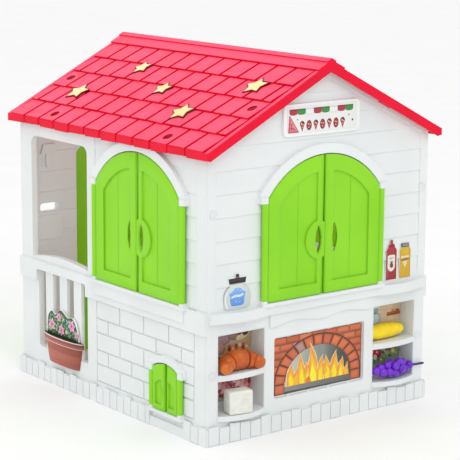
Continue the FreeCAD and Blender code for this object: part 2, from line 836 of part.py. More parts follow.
def gable_wall(boards_low, doorways):
    lapped = prism_uz(gable_outline(half_width), cladding_depth, panel_lap)
    thick = prism_uz(gable_outline(half_width - post_width - post_gap), cladding_depth, wall_thickness)
    edge = half_width - corner_board
    whole = prism_uz(gable_outline(half_width), 0, cladding_depth)
    strips = whole.common(join([box(-half_width, -edge, 0, cladding_depth, 0, ridge_height),
                                box(edge, half_width, 0, cladding_depth, 0, ridge_height)]))
    rake = whole.cut(prism_uz(gable_outline(half_width, rake_board), -bite, cladding_depth + bite))
    boards = clapboards(-edge, edge, boards_low, ridge_height)
    boards = boards.common(prism_uz(gable_outline(half_width), -bite, cladding_depth + bite))
    lower = box(-edge, edge, 0, cladding_depth, 0, boards_low)
    parts = [lapped, thick, strips, rake, boards, lower, skirt(-half_width, half_width, doorways)]
    return join(parts)


def screw_points():
    edge = half_width - screw_inset
    return [(u, z) for u in (-edge, edge) for z in (screw_low, screw_high)]


def screw_caps(side):
    caps = []
    for u, z in screw_points():
        cap = disc(screw_cap_radius, u, z, -cap_face, cap_depth)
        dish = disc(screw_cap_radius - cap_rim, u, z, -cap_face - bite, -cap_face / 2)
        cross = [box(u - a, u + a, cap_swirl_sink - cap_face, -cap_face / 2, z - b, z + b)
                 for a, b in ((cap_swirl, cap_swirl_half), (cap_swirl_half, cap_swirl))]
        caps.append(on_side(join([cap.cut(dish)] + cross), side))
    return caps


def screw_pockets():
    return [disc(screw_cap_radius + 0.1, u, z, -20, cap_depth) for u, z in screw_points()]


def shelf_opening(sign):
    low, high = sorted((sign * shelf_near, sign * shelf_far))
    return box(low, high, -bite, wall_thickness + bite, shelf_bottom, shelf_ceiling + shelf_skin)


def kitchen_wall():
    wall = gable_wall(sill_high, ())
    end = half_width - counter_inset
    counter_high = sill_low + 4
    counter = box(-end, end, -counter_relief, 0, counter_low, counter_high)
    ledge_end = shutters.axis_u + shutters.barrel + 4
    ledge = box(-ledge_end, ledge_end, -sill_relief, cladding_depth, sill_low, sill_high)
    bulges = []
    for sign in (-1, 1):
        low, high = sorted((sign * (shelf_near + 2), sign * (shelf_far + 4)))
        bulges.append(bulged(low, high, -counter_relief, -counter_bulge, counter_low, counter_high))
    wave = []
    steps = 24
    reach = shelf_near - mantel_inset
    for index in range(steps + 1):
        u = -reach + 2 * reach * index / steps
        wave.append(V(u, 0, mantel_low + mantel_wave * math.sin(math.pi * abs(u) / reach) ** 2))
    curve = Part.BSplineCurve()
    curve.interpolate(wave)
    edges = [
        curve.toShape(),
        Part.LineSegment(wave[-1], V(reach, 0, counter_low + bite)).toShape(),
        Part.LineSegment(V(reach, 0, counter_low + bite), V(-reach, 0, counter_low + bite)).toShape(),
        Part.LineSegment(V(-reach, 0, counter_low + bite), wave[0]).toShape(),
    ]
    mantel = Part.Face(Part.Wire(edges)).extrude(V(0, -mantel_relief, 0))
    bosses = knuckles(shutters, sill_high - bite)
    wall = join([wall, counter, ledge, mantel, trim(shutters)] + bulges + bosses)
    oven = rounded_box(-oven_half, oven_half, -bite, wall_thickness + bite, oven_low, oven_high, oven_corner)
    tools = [opening(shutters), shelf_opening(-1), shelf_opening(1), oven]
    tools += knuckle_holes(shutters) + screw_pockets()
    tools += inner_grooves(-half_width + post_width, half_width - post_width, sill_high, ridge_height)
    wall = cut(wall, tools)
    clips = []
    spacing = 2 * oven_half / (clip_count + 0.5)
    front, back = oven_recess - clip_thickness, oven_recess
    heights = [(oven_high - clip_reach, oven_high + bite), (oven_low - bite, oven_low + clip_reach)]
    for index in range(clip_count):
        u = (index - (clip_count - 1) / 2) * spacing
        for low, high in heights:
            clips.append(box(u - clip_half, u + clip_half, front, back, low, high))
    return join([wall] + clips)


def shelf_unit(sign):
    low, high = sorted((sign * shelf_near, sign * shelf_far))
    shell = box(low, high, 0, shelf_depth + shelf_skin, shelf_bottom, shelf_ceiling + shelf_skin)
    lower = box(low + shelf_skin, high - shelf_skin, -bite, shelf_depth, shelf_floor, shelf_mid_low)
    upper = box(low + shelf_skin, high - shelf_skin, -bite, shelf_depth, shelf_mid_high, shelf_ceiling)
    shell = cut(shell, [lower, upper])
    lip = bulged(low + 1, high - 1, -2, -low_shelf_bulge, shelf_bottom + 3, shelf_floor)
    shelf = bulged(low + 3, high - 3, -1, -mid_shelf_bulge, shelf_mid_low, shelf_mid_high)
    return join([shell, lip, shelf])


def back_wall():
    clear = back_door.axis_u + back_door.barrel + trim_past_barrel + bite
    wall = gable_wall(skirt_height, [(-clear, clear)])
    threshold = box(-clear, clear, -sill_relief, 0, 0, door_bottom - sill_gap)
    slot_left, slot_right = slot_middle - slot_half, slot_middle + slot_half
    frame = rounded_box(slot_left - slot_frame, slot_right + slot_frame, -slot_frame_relief, 2,
                        slot_low - slot_frame, slot_high + slot_frame, slot_corner)
    bosses = knuckles(back_door, door_bottom - sill_gap - bite)
    wall = join([wall, threshold, trim(back_door), frame] + bosses)
    posts = half_width - post_width
    slot = rounded_box(slot_left, slot_right, -slot_frame_relief - bite, wall_thickness + bite,
                       slot_low, slot_high, slot_corner)
    tools = [opening(back_door), slot] + knuckle_holes(back_door) + screw_pockets()
    tools += inner_grooves(-posts, posts, board_start - 4 * board_pitch, ridge_height)
    wall = cut(wall, tools)
    letters_high = slot_low - letter_box_drop
    letters = rounded_box(slot_middle - letter_box_half, slot_middle + letter_box_half, wall_thickness - 2,
                          wall_thickness + cladding_depth, letters_high - letter_box_height, letters_high,
                          letter_box_corner)
    return join([wall, lamp_relief(), letters])


def lamp_relief():
    """A shallow moulded wall lamp on the inner face, over the letter slot."""
    u, z = slot_middle, slot_high + lamp_above_slot
    wide = lamp_share * letter_box_half
    narrow, stem_half = wide * 2 / 3, wide * 3 / 8
    back, front = wall_thickness - 2, wall_thickness + lamp_relief_depth
    shade = prism_uz([(u - wide, z), (u + wide, z), (u + narrow, z + lamp_shade_height),
                      (u - narrow, z + lamp_shade_height)], back, front)
    stem = rounded_box(u - stem_half, u + stem_half, back, front - 1, z + lamp_overlap - lamp_stem_height,
                       z + lamp_overlap, stem_half * 0.9)
    return join([shade, stem])


def side_wall(pair, porch, pet):
    """A side wall with its corner posts, band, bricks and window; the left one has the porch."""
    reach = half_depth - panel_lap
    above = wall_top + roof_skin + eave_drop
    parts = [box(-reach, reach, cladding_depth, wall_thickness, 0, above)]
    for end in (-1, 1):
        low, high = sorted((end * reach, end * (reach - post_depth)))
        parts.append(box(low, high, 0, post_width, 0, above))
    board_edge = reach - post_depth
    parts.append(clapboards(-board_edge, board_edge, band_high, above))
    brick_left = brick_far if porch else -board_edge + 8
    parts.append(box(-board_edge, brick_left, 0, cladding_depth, 0, band_low + bite))
    parts.append(box(brick_near, board_edge, 0, cladding_depth, 0, band_low + bite))
    parts.append(box(-board_edge, board_edge, 0, cladding_depth, 0, brick_low))
    parts += bricks(brick_left, brick_near, brick_low, band_low)
    if porch:
        strip_end = porch_near + porch_post - cladding_depth
        parts.append(box(-board_edge, strip_end, 0, cladding_depth + bite, 0, above))
    parts.append(box(-half_depth, half_depth, -band_relief, 0, band_low, band_high))
    parts.append(box(-reach, reach, -bite, cladding_depth, band_low, band_high))
    threshold = pair_clearance(pet_door)
    doorways = [threshold] if pet else []
    parts.append(skirt(-half_depth - skirt_relief, half_depth + skirt_relief, doorways))
    wall = join(parts)
    left = pair.middle - pair.axis_u - pair.barrel - sill_past_barrel
    right = pair.middle + pair.axis_u + pair.barrel + sill_past_barrel
    sill = box(left, right, -sill_relief, cladding_depth, sill_low, sill_high)
    apron = box(left + apron_inset, right - apron_inset, -apron_relief, 0, band_low + apron_foot, sill_low)
    extra = [sill, apron, trim(pair)] + knuckles(pair, sill_high - bite)
    if pet:
        low, high = threshold
        extra.append(box(low, high, -skirt_relief + 2, 0, 0, pet_step))
        extra.append(box(low, high, -sill_relief + 2, cladding_depth, pet_bottom - pet_threshold,
                         pet_bottom - sill_gap))
        extra += [trim(pet_door)] + knuckles(pet_door, pet_bottom - sill_gap - bite)
    wall = join([wall] + extra)
    tools = [opening(pair)] + knuckle_holes(pair)
    tools += inner_grooves(-board_edge, board_edge, sill_high, wall_top)
    if pet:
        tools += [opening(pet_door, pet_bottom + pet_opening_foot)] + knuckle_holes(pet_door)
    if porch:
        tools += porch_cuts()
    wall = cut(wall, tools)
    if porch:
        wall = join([wall] + balusters())
    return wall


def pair_clearance(pair):
    reach = pair.axis_u + pair.barrel + doorway_margin
    return (pair.middle - reach, pair.middle + reach)


def porch_cuts():
    """The open porch over its crowned rail, and the gap below it that the balusters fill."""
    span_middle = (porch_near + porch_far) / 2
    out = -sill_relief - bite
    through = wall_thickness + bite - out
    low_left, low_right = V(porch_far, out, rail_top), V(porch_near, out, rail_top + rail_rise)
    crown = Part.Arc(low_left, V(span_middle, out, rail_top + rail_crown), low_right).toShape()
    edges = [
        crown,
        Part.LineSegment(low_right, V(porch_near, out, porch_top)).toShape(),
        Part.LineSegment(V(porch_near, out, porch_top), V(porch_far, out, porch_top)).toShape(),
        Part.LineSegment(V(porch_far, out, porch_top), low_left).toShape(),
    ]
    upper = Part.Face(Part.Wire(edges)).extrude(V(0, through, 0))
    corners = [e for e in upper.Edges
               if abs(e.Vertexes[0].Z - porch_top) < 1e-6 and abs(e.Vertexes[-1].Z - porch_top) < 1e-6
               and abs(e.Vertexes[0].Y - e.Vertexes[-1].Y) > 1e-6]
    upper = upper.makeFillet(porch_corner, corners)
    lower = rounded_box(baluster_far, baluster_near, out, out + through, baluster_low, rail_low,
                        baluster_corner)
    return [upper, lower]


def balusters():
    span = baluster_near - baluster_far
    gap = (span - baluster_count * baluster_width) / (baluster_count + 1)
    bars = []
    for index in range(baluster_count):
        left = baluster_far + gap + index * (gap + baluster_width)
        bars.append(box(left, left + baluster_width, baluster_front, baluster_front + baluster_thickness,
                        baluster_low - bite, rail_low + bite))
    return bars


def trimmed_to_roof(shape):
    """Side walls and posts end on the underside of the roof."""
    beyond = 2 * wall_depth
    left = roof_place(box(-wall_width / 4, roof_slope + wall_width / 3, -beyond, beyond,
                          -roof_skin, wall_width / 2))
    above = left.common(box(-beyond, 0, -beyond, beyond, 0, beyond))
    return shape.cut(above.fuse(mirrored(above)))


# ---------------------------------------------------------------- planter, stickers and play food
def half_oval(middle, half, reach, z):
    back = -clip_gap
    return Part.Wire([
        Part.Arc(V(middle - half, back, z), V(middle, -reach, z), V(middle + half, back, z)).toShape(),
        Part.LineSegment(V(middle + half, back, z), V(middle - half, back, z)).toShape(),
    ])


def planter():
    """Half-round pot moulded as a separate piece, clipped to the balusters."""
    middle = (baluster_far + porch_near) / 2 + pot_from_middle
    foot = half_oval(middle, pot_foot_half, pot_depth - pot_foot_inset, pot_foot)
    top = half_oval(middle, pot_rim_half - pot_shoulder, pot_depth, pot_rim_low + bite)
    rim = Part.Face(half_oval(middle, pot_rim_half, pot_depth + pot_rim_lip, pot_rim_low))
    return join([Part.makeLoft([foot, top], True), rim.extrude(V(0, 0, pot_rim_high - pot_rim_low))])


def flowers():
    """Flat printed plate of leaves and flowers that stands on the pot's rim."""
    middle = (baluster_far + porch_near) / 2 + plants_from_middle
    humps = [(-1, 0), (-0.94, 0.62), (-0.71, 0.87), (-0.47, 0.76), (-0.12, 1), (0.29, 0.8), (0.63, 0.82),
             (0.9, 0.44), (0.98, 0)]
    tall = plants_top - pot_rim_high
    crown = [V(middle + plants_half * across, -clip_gap, pot_rim_high + tall * up) for across, up in humps]
    curve = Part.BSplineCurve()
    curve.interpolate(crown)
    face = Part.Face(Part.Wire([curve.toShape(), Part.LineSegment(crown[-1], crown[0]).toShape()]))
    return face.extrude(V(0, -plants_thickness, 0))


def jar_sticker(wall):
    u = -half_width + jar_from_corner
    front, back = -sticker, cladding_depth
    body = disc(jar_radius, u, jar_middle, front, back)
    body = body.common(box(u - jar_radius, u + jar_radius, front, back, jar_foot, jar_shoulder))
    neck = box(u - jar_neck_half, u + jar_neck_half, front, back, jar_middle, jar_lid_low + bite)
    lid = box(u - jar_lid_half, u + jar_lid_half, front, back, jar_lid_low, jar_lid_high)
    knob = box(u - jar_knob_half, u + jar_knob_half, front, back, jar_lid_high - bite, jar_knob_high)
    return join([body, neck, lid, knob]).cut(wall)


def bottle_sticker(wall, u, shoulder, top, neck):
    half = bottle_half
    neck_low = shoulder + bottle_slope
    outline = [(u - half, bottle_foot), (u + half, bottle_foot), (u + half, shoulder), (u + neck, neck_low),
               (u + neck, top), (u - neck, top), (u - neck, neck_low), (u - half, shoulder)]
    return prism_uz(outline, -sticker, cladding_depth).cut(wall)


def niche_print(sign, low, high):
    u0, u1 = sorted((sign * (shelf_near + shelf_skin), sign * (shelf_far - shelf_skin)))
    return on_side(box(u0 + bite, u1 - bite, shelf_depth - sticker, shelf_depth, low, high), "front")


def croissant():
    """A crescent of bulges, lying on the left middle shelf with its horns forward."""
    balls = []
    for index in range(croissant_bulges):
        t = -1 + 2 * index / (croissant_bulges - 1)
        radius = croissant_radius - croissant_taper * abs(t) ** croissant_taper_curve
        u = croissant_half * math.sin(croissant_turn * t)
        v = croissant_back - croissant_horn * abs(t) ** croissant_horn_curve
        balls.append((V(u, v, radius), radius))
    crescent = chain(balls)
    crescent.translate(V(croissant_middle - shelf_far, 0, shelf_mid_high + toy_rest))
    return on_side(crescent, "front")


def chain(balls):
    """Balls joined by cones, each resting on the same floor."""
    parts = [Part.makeSphere(radius, centre) for centre, radius in balls]
    for (a, ra), (b, rb) in zip(balls, balls[1:]):
        axis = b.sub(a)
        length = axis.Length
        lean = (ra - rb) / length
        rise = math.sqrt(1 - lean * lean)
        start = a.add(V(axis).multiply(lean * ra / length))
        end = b.add(V(axis).multiply(lean * rb / length))
        span = end.sub(start)
        parts.append(Part.makeCone(ra * rise, rb * rise, span.Length, start, axis))
    return join(parts)


def lathed(length, profile):
    """A closed body turned about the u axis; the profile is (distance, radius) pairs."""
    points = [V(0, 0, 0)] + [V(u, 0, radius) for u, radius in profile] + [V(length, 0, 0)]
    curve = Part.BSplineCurve()
    curve.interpolate(points)
    face = Part.Face(Part.Wire([curve.toShape(), Part.LineSegment(points[-1], points[0]).toShape()]))
    return face.revolve(V(0, 0, 0), V(1, 0, 0), 360)


def turned(profile):
    """A body of cones about the u axis; the profile is (distance, radius) pairs."""
    points = [V(profile[0][0], 0, 0)] + [V(u, 0, radius) for u, radius in profile] + [V(profile[-1][0], 0, 0)]
    face = Part.Face(Part.makePolygon(points + points[:1]))
    return face.revolve(V(0, 0, 0), V(1, 0, 0), 360)


def corn():
    """An ear of corn lying across the back of the right middle shelf."""
    shape = [(0.09, 0.62), (0.3, 0.97), (0.5, 1.0), (0.75, 0.86), (0.94, 0.5)]
    ear = lathed(corn_length, [(corn_length * u, corn_radius * r) for u, r in shape])
    ear.translate(V(shelf_near + shelf_skin + corn_inset, shelf_depth - corn_radius - corn_back_gap,
                    shelf_mid_high + toy_rest + corn_radius * corn_swell))
    return on_side(ear, "front")


def grapes():
    """A bunch of grapes lying on the right lower shelf, with its stem to the right."""
    shape = [(0.0, 0.25), (0.04, 0.4), (0.14, 0.6), (0.28, 0.8), (0.45, 0.95), (0.6, 1.0), (0.74, 0.94),
             (0.86, 0.76), (0.95, 0.54), (1.0, 0.3)]
    bunch = turned([(bunch_length * u, bunch_radius * r) for u, r in shape])
    root_u = bunch_length - stem_inset
    root = Part.makeCylinder(stem_radius, stem_forward, V(root_u, 0, 0), V(0, -1, 0))
    knuckle = Part.makeSphere(stem_radius, V(root_u, -stem_forward, 0))
    stem = Part.makeCylinder(stem_radius, stem_length, V(root_u, -stem_forward, 0), V(1, 0, 0))
    whole = bunch.fuse(join([root, knuckle, stem]))
    lift = shelf_floor + toy_rest + bunch_radius
    whole.translate(V(shelf_near + shelf_skin + bunch_inset, bunch_middle, lift))
    return on_side(whole, "front")


def cheese():
    """A block of cheese standing on the left lower shelf."""
    u0 = -shelf_far + cheese_from_side
    low = shelf_floor + toy_rest
    lean = cheese_depth / 3
    outline = [V(u0, -cheese_front, low), V(u0 + cheese_width, -cheese_front - cheese_turn, low),
               V(u0 + cheese_width + lean, cheese_back - cheese_turn, low), V(u0 + lean, cheese_back, low)]
    block = prism(outline, V(0, 0, cheese_height))
    return on_side(block.makeFillet(cheese_corner, block.Edges), "front")


# ---------------------------------------------------------------- build
nodes = {}


def keep(name, shape):
    if shape.ShapeType == "Compound" and len(shape.Solids) == 1:
        shape = shape.Solids[0]
    nodes[name] = shape


kitchen = kitchen_wall()
rear = back_wall()
keep("front_wall", on_side(kitchen, "front"))
keep("back_wall", on_side(rear, "back"))
keep("left_wall", trimmed_to_roof(on_side(side_wall(side_shutters, True, True), "left")))
keep("right_wall", trimmed_to_roof(on_side(side_wall(shutters, False, False), "right")))

left_roof = roof_half()
keep("roof_left", left_roof)
keep("roof_right", mirrored(left_roof))
left_stars = roof_stars(left_roof)
keep("star_stickers_left", left_stars)
keep("star_stickers_right", mirrored(left_stars))
left_screws = roof_screws()
keep("roof_screws", Part.makeCompound(left_screws + [mirrored(head) for head in left_screws]))
keep("wall_screw_caps", Part.makeCompound(screw_caps("front") + screw_caps("back")))

keep("shelf_unit_left", on_side(shelf_unit(-1), "front"))
keep("shelf_unit_right", on_side(shelf_unit(1), "front"))
plate_half = oven_half - oven_plate_gap
plate = rounded_box(-plate_half, plate_half, oven_recess, oven_recess + oven_plate,
                    oven_low + oven_plate_gap, oven_high - oven_plate_gap, oven_corner)
keep("oven_plate", on_side(plate, "front"))
oven_sheet_half = oven_half - oven_print_side
oven_sheet = rounded_box(-oven_sheet_half, oven_sheet_half, oven_recess - sticker, oven_recess,
                         oven_low + oven_print_margin, oven_high - oven_print_margin,
                         oven_corner - oven_print_side)
keep("oven_print", on_side(oven_sheet, "front"))

sign_left = sign_middle - sign_width / 2
sign_right = sign_middle + sign_width / 2
sign = rounded_box(sign_left, sign_right, -sign_thickness, cladding_depth, sign_low, sign_high,
                   sign_corner).cut(kitchen)
keep("sign_board", on_side(sign, "front"))
sign_sheet = rounded_box(sign_left + sign_border, sign_right - sign_border, -sign_thickness - sticker,
                         -sign_thickness, sign_low + sign_edge, sign_high - sign_edge, sign_corner / 2)
keep("sign_print", on_side(sign_sheet, "front"))
keep("jar_sticker", on_side(jar_sticker(kitchen), "front"))
red_bottle = bottle_sticker(kitchen, half_width - red_bottle_from_corner, red_bottle_shoulder,
                            red_bottle_top, red_bottle_neck)
yellow_bottle = bottle_sticker(kitchen, half_width - yellow_bottle_from_corner, yellow_bottle_shoulder,
                               yellow_bottle_top, yellow_bottle_neck)
keep("red_bottle_sticker", on_side(red_bottle, "front"))
keep("yellow_bottle_sticker", on_side(yellow_bottle, "front"))

upper_niche = (shelf_mid_high + niche_upper_foot, shelf_ceiling - niche_headroom)
lower_niche = (shelf_floor + niche_lower_foot, shelf_mid_low - niche_headroom)
keep("niche_print_bread", niche_print(-1, *upper_niche))
keep("niche_print_meat", niche_print(-1, *lower_niche))
keep("niche_print_jars", niche_print(1, *upper_niche))
keep("niche_print_vegetables", niche_print(1, *lower_niche))

keep("planter_pot", on_side(planter(), "left"))
keep("planter_flowers", on_side(flowers(), "left"))

panel_left, panel_right = panel_side, shutter_half - panel_outer
halfway = (0.5,)
shutter_panel = (panel_left, panel_right, shutter_bottom + panel_foot, shutter_apex, halfway)
slot_z = shutter_bottom + slot_above_foot
boss_grip = (True, boss_slot_offset, slot_z, slot_half_width, slot_half_height)
lens_grip = (False, lens_slot_offset, slot_z, slot_half_width, slot_half_height)
shutter_set = [
    ("front_shutter_left", shutters, "front", -1, boss_grip, True),
    ("front_shutter_right", shutters, "front", 1, lens_grip, False),
    ("porch_side_shutter_left", side_shutters, "left", -1, lens_grip, False),
    ("porch_side_shutter_right", side_shutters, "left", 1, boss_grip, True),
    ("far_side_shutter_left", shutters, "right", -1, lens_grip, False),
    ("far_side_shutter_right", shutters, "right", 1, boss_grip, True),
]
for name, pair, side, hand, grip, rebated in shutter_set:
    keep(name, placed_leaf(pair, side, hand, [shutter_panel], [grip], rebated))

pet_panel = (pet_panel_side, pet_half - pet_panel_outer, pet_bottom + pet_panel_foot,
             pet_spring - pet_panel_top, ())
pet_grip = (False, pet_slot_offset, pet_bottom + pet_slot_above_foot, pet_slot_half_width,
            pet_slot_half_height)
keep("pet_door_left", placed_leaf(pet_door, "left", -1, [pet_panel], [pet_grip], False))
keep("pet_door_right", placed_leaf(pet_door, "left", 1, [pet_panel], [], True))

door_panels = [(panel_left, panel_right, door_bottom + door_panel_foot, lock_rail_low, halfway),
               (panel_left, panel_right, lock_rail_high, door_apex, halfway)]
door_grip = (False, door_slot_offset, (lock_rail_low + lock_rail_high) / 2, door_slot_half_width,
             door_slot_half_height)
keep("back_door_left", placed_leaf(back_door, "back", -1, door_panels, [door_grip], True))
keep("back_door_right", placed_leaf(back_door, "back", 1, door_panels, [door_grip], False))

keep("toy_croissant", croissant())
keep("toy_corn", corn())
keep("toy_grapes", grapes())
keep("toy_cheese", cheese())

os.makedirs("parts", exist_ok=True)
for name, shape in nodes.items():
    if not shape.isValid():
        print("invalid shape:", name)
    print(f"{name:28s} solids {len(shape.Solids):2d}  faces {len(shape.Faces):4d}")
    shape.exportStep(f"parts/{name}.step")
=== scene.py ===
import math
import random

import bmesh
import bpy
from mathutils import Matrix, Vector, noise


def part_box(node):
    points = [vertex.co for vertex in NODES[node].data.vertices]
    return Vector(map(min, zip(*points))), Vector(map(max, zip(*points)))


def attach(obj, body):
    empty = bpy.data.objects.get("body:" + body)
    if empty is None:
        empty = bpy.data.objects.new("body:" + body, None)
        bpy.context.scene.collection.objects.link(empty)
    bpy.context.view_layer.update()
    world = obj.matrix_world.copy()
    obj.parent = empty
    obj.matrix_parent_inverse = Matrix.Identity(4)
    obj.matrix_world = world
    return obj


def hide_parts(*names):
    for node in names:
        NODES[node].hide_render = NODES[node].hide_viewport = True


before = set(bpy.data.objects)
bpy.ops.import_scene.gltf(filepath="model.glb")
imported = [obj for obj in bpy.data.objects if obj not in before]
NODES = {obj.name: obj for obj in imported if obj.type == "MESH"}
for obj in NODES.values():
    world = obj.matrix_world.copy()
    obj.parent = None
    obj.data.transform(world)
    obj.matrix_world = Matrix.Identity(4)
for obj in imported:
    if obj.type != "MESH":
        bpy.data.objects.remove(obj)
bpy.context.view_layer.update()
MM = 0.001
UPWARD = 0.8                            # a face whose normal's z is over this looks up
BAND_NEAR, BAND_FAR = 18 * MM, 50 * MM  # the middles of the ridge band's faces, out from the ridge
# TILE_HEIGHT and TILE_FACING set where the roof's painted shade in grooves and on edges gives way to its
# painted highlight on tile faces.
TILE_HEIGHT = (-8.6 * MM, -5.6 * MM)    # from a groove to a tile's face, measured from the ridge band
TILE_FACING = (0.93, 0.99)              # from a tile's edge to its face, as a cosine with the roof's normal
PRINT_STEP = 0.06                       # mm between the layers of a printed sheet
PRINT_BACK = -0.4                       # mm that a printed patch reaches into its sheet


def show(item):
    bpy.context.scene.collection.objects.link(item)


# ---------------------------------------------------------------- materials
def srgb(text):
    """A colour written as six hex digits, as linear RGBA."""
    channels = [int(text[i:i + 2], 16) / 255 for i in (0, 2, 4)]
    return tuple([c / 12.92 if c <= 0.04045 else ((c + 0.055) / 1.055) ** 2.4 for c in channels] + [1.0])


def new_material(name):
    material = bpy.data.materials.new(name)
    material.use_nodes = True
    tree = material.node_tree
    return material, tree, tree.nodes["Principled BSDF"]


def add(tree, kind, **values):
    node = tree.nodes.new(kind)
    for key, value in values.items():
        setattr(node, key, value)
    return node


def clouds(tree, scale, detail=2.0, roughness=0.5):
    """The value of a noise in the object's own metres."""
    texture = add(tree, "ShaderNodeTexNoise")
    texture.inputs["Scale"].default_value = scale
    texture.inputs["Detail"].default_value = detail
    texture.inputs["Roughness"].default_value = roughness
    tree.links.new(add(tree, "ShaderNodeTexCoord").outputs["Object"], texture.inputs["Vector"])
    return texture.outputs["Fac"]


def ramp(tree, source, stops):
    """A colour that follows a value through stops of (place, colour)."""
    node = add(tree, "ShaderNodeValToRGB")
    elements = node.color_ramp.elements
    while len(elements) < len(stops):
        elements.new(0.5)
    for element, (place, colour) in zip(elements, stops):
        element.position = place
        element.color = colour
    tree.links.new(source, node.inputs["Fac"])
    return node.outputs["Color"]


def grey(value):
    return (value, value, value, 1.0)


def drift(tree, scale, detail, low, high, roughness=0.5, spread=(0.3, 0.7)):
    """A colour that wanders between two, following a noise."""
    return ramp(tree, clouds(tree, scale, detail, roughness), list(zip(spread, (low, high))))


def cover(tree, shader, colour, roughness):
    tree.links.new(colour, shader.inputs["Base Color"])
    tree.links.new(roughness, shader.inputs["Roughness"])


def mix_colour(tree, factor, first, second, blend="MIX"):
    """Mixes two colour outputs; the factor is a number or an output."""
    node = add(tree, "ShaderNodeMix", data_type="RGBA", blend_type=blend)
    if isinstance(factor, float):
        node.inputs["Factor"].default_value = factor
    else:
        tree.links.new(factor, node.inputs["Factor"])
    tree.links.new(first, node.inputs["A"])
    tree.links.new(second, node.inputs["B"])
    return node.outputs["Result"]


def calc(tree, operation, *values):
    """The result of a Math node; each value is a number or an output."""
    node = add(tree, "ShaderNodeMath", operation=operation)
    for socket, value in zip(node.inputs, values):
        if isinstance(value, float):
            socket.default_value = value
        else:
            tree.links.new(value, socket)
    return node.outputs[0]


def smooth_step(tree, value, low, high):
    """0 below low and 1 above high, with a smooth change between them."""
    node = add(tree, "ShaderNodeMapRange", interpolation_type="SMOOTHSTEP")
    node.inputs["From Min"].default_value = low
    node.inputs["From Max"].default_value = high
    tree.links.new(value, node.inputs["Value"])
    return node.outputs["Result"]


def bump(tree, shader, layers, soft_edge=0.0):
    """Chains bump nodes; each layer is (height output, distance in mm, strength)."""
    last = None
    if soft_edge:
        last = add(tree, "ShaderNodeBevel", samples=6)
        last.inputs["Radius"].default_value = soft_edge * MM
    for height, distance, strength in layers:
        node = add(tree, "ShaderNodeBump")
        node.inputs["Distance"].default_value = distance * MM
        node.inputs["Strength"].default_value = strength
        tree.links.new(height, node.inputs["Height"])
        if last:
            tree.links.new(last.outputs["Normal"], node.inputs["Normal"])
        last = node
    tree.links.new(last.outputs["Normal"], shader.inputs["Normal"])


def moulded(name, pale, deep, rough_low=0.34, rough_high=0.46, grain=0.10, soft_edge=0.0, shine=0.5):
    """Blow-moulded plastic: slightly uneven colour, a fine grain and a soft waviness."""
    material, tree, shader = new_material(name)
    colour = drift(tree, 5.0, 3.0, srgb(deep), srgb(pale))
    cover(tree, shader, colour, drift(tree, 28.0, 4.0, grey(rough_low), grey(rough_high)))
    fine = clouds(tree, 700.0, 3.0, 0.6)
    bump(tree, shader, [(clouds(tree, 16.0, 1.0), 1.2, 0.25), (fine, 0.25, grain)], soft_edge)
    shader.inputs["Specular IOR Level"].default_value = shine
    return material


def printed(name):
    """A printed sheet: the patch's own colour, broken up by a fine print grain."""
    material, tree, shader = new_material(name)
    ink = add(tree, "ShaderNodeVertexColor", layer_name="ink")
    mottle = drift(tree, 160.0, 4.0, grey(0.86), grey(1.0), 0.65, spread=(0.25, 0.75))
    colour = mix_colour(tree, 1.0, ink.outputs["Color"], mottle, "MULTIPLY")
    cover(tree, shader, colour, drift(tree, 60.0, 2.0, grey(0.33), grey(0.44)))
    bump(tree, shader, [(clouds(tree, 900.0), 0.08, 0.15)])
    return material


def roof_plane():
    """The plane of the band along the ridge: its upward normal and its distance from the origin."""
    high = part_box("roof_left")[1]
    near = [face for face in NODES["roof_left"].data.polygons
            if face.normal.z > UPWARD and BAND_NEAR < high.x - face.center.x < BAND_FAR]
    band = max(near, key=lambda face: face.area)
    return band.normal, band.normal.dot(band.center)


def roof_painted_highlight_and_shade(material):
    """Painted light and shade: tile faces are painted a paler pink red as a highlight, and the grooves,
    edges, eaves and rims round them a deeper red as shade.
    """
    tree = material.node_tree
    normal, distance = roof_plane()

    def out_of_roof(vector, less):
        """How far a vector reaches out of the roof half it belongs to, less a distance."""
        parts = add(tree, "ShaderNodeSeparateXYZ")
        tree.links.new(vector, parts.inputs["Vector"])
        sideways = calc(tree, "ABSOLUTE", parts.outputs["X"])
        across = calc(tree, "MULTIPLY_ADD", sideways, abs(normal.x), -less)
        return calc(tree, "MULTIPLY_ADD", parts.outputs["Z"], normal.z, across)

    place = add(tree, "ShaderNodeTexCoord").outputs["Object"]
    facing = add(tree, "ShaderNodeNewGeometry").outputs["True Normal"]
    # mask of the painted highlight: high on the roof and facing along its normal
    high = smooth_step(tree, out_of_roof(place, distance), *TILE_HEIGHT)
    flat = smooth_step(tree, out_of_roof(facing, 0.0), *TILE_FACING)
    # painted highlight: the pale pink red of the lit tile faces
    pale = drift(tree, 5.0, 3.0, srgb("FA4C6E"), srgb("FF5678"))
    # painted shade: the deep red of the grooves, edges, eaves and rims
    deep = drift(tree, 7.0, 3.0, srgb("E4002E"), srgb("F00032"))
    colour = mix_colour(tree, calc(tree, "MULTIPLY", high, flat), deep, pale)
    tree.links.new(colour, tree.nodes["Principled BSDF"].inputs["Base Color"])


WALL = moulded("wall_plastic", "E9EDED", "E1E6E6", 0.40, 0.52, 0.16, soft_edge=1.5)
CAP = moulded("cap_plastic", "E6EAEA", "DCE0E0", 0.32, 0.42, 0.08)
SHELF = moulded("shelf_plastic", "E8ECEC", "DFE4E4", 0.38, 0.48, 0.10, soft_edge=1.5)
ROOF = moulded("roof_plastic", "F2183F", "E80C34", 0.42, 0.52, 0.20, soft_edge=1.5, shine=0.2)
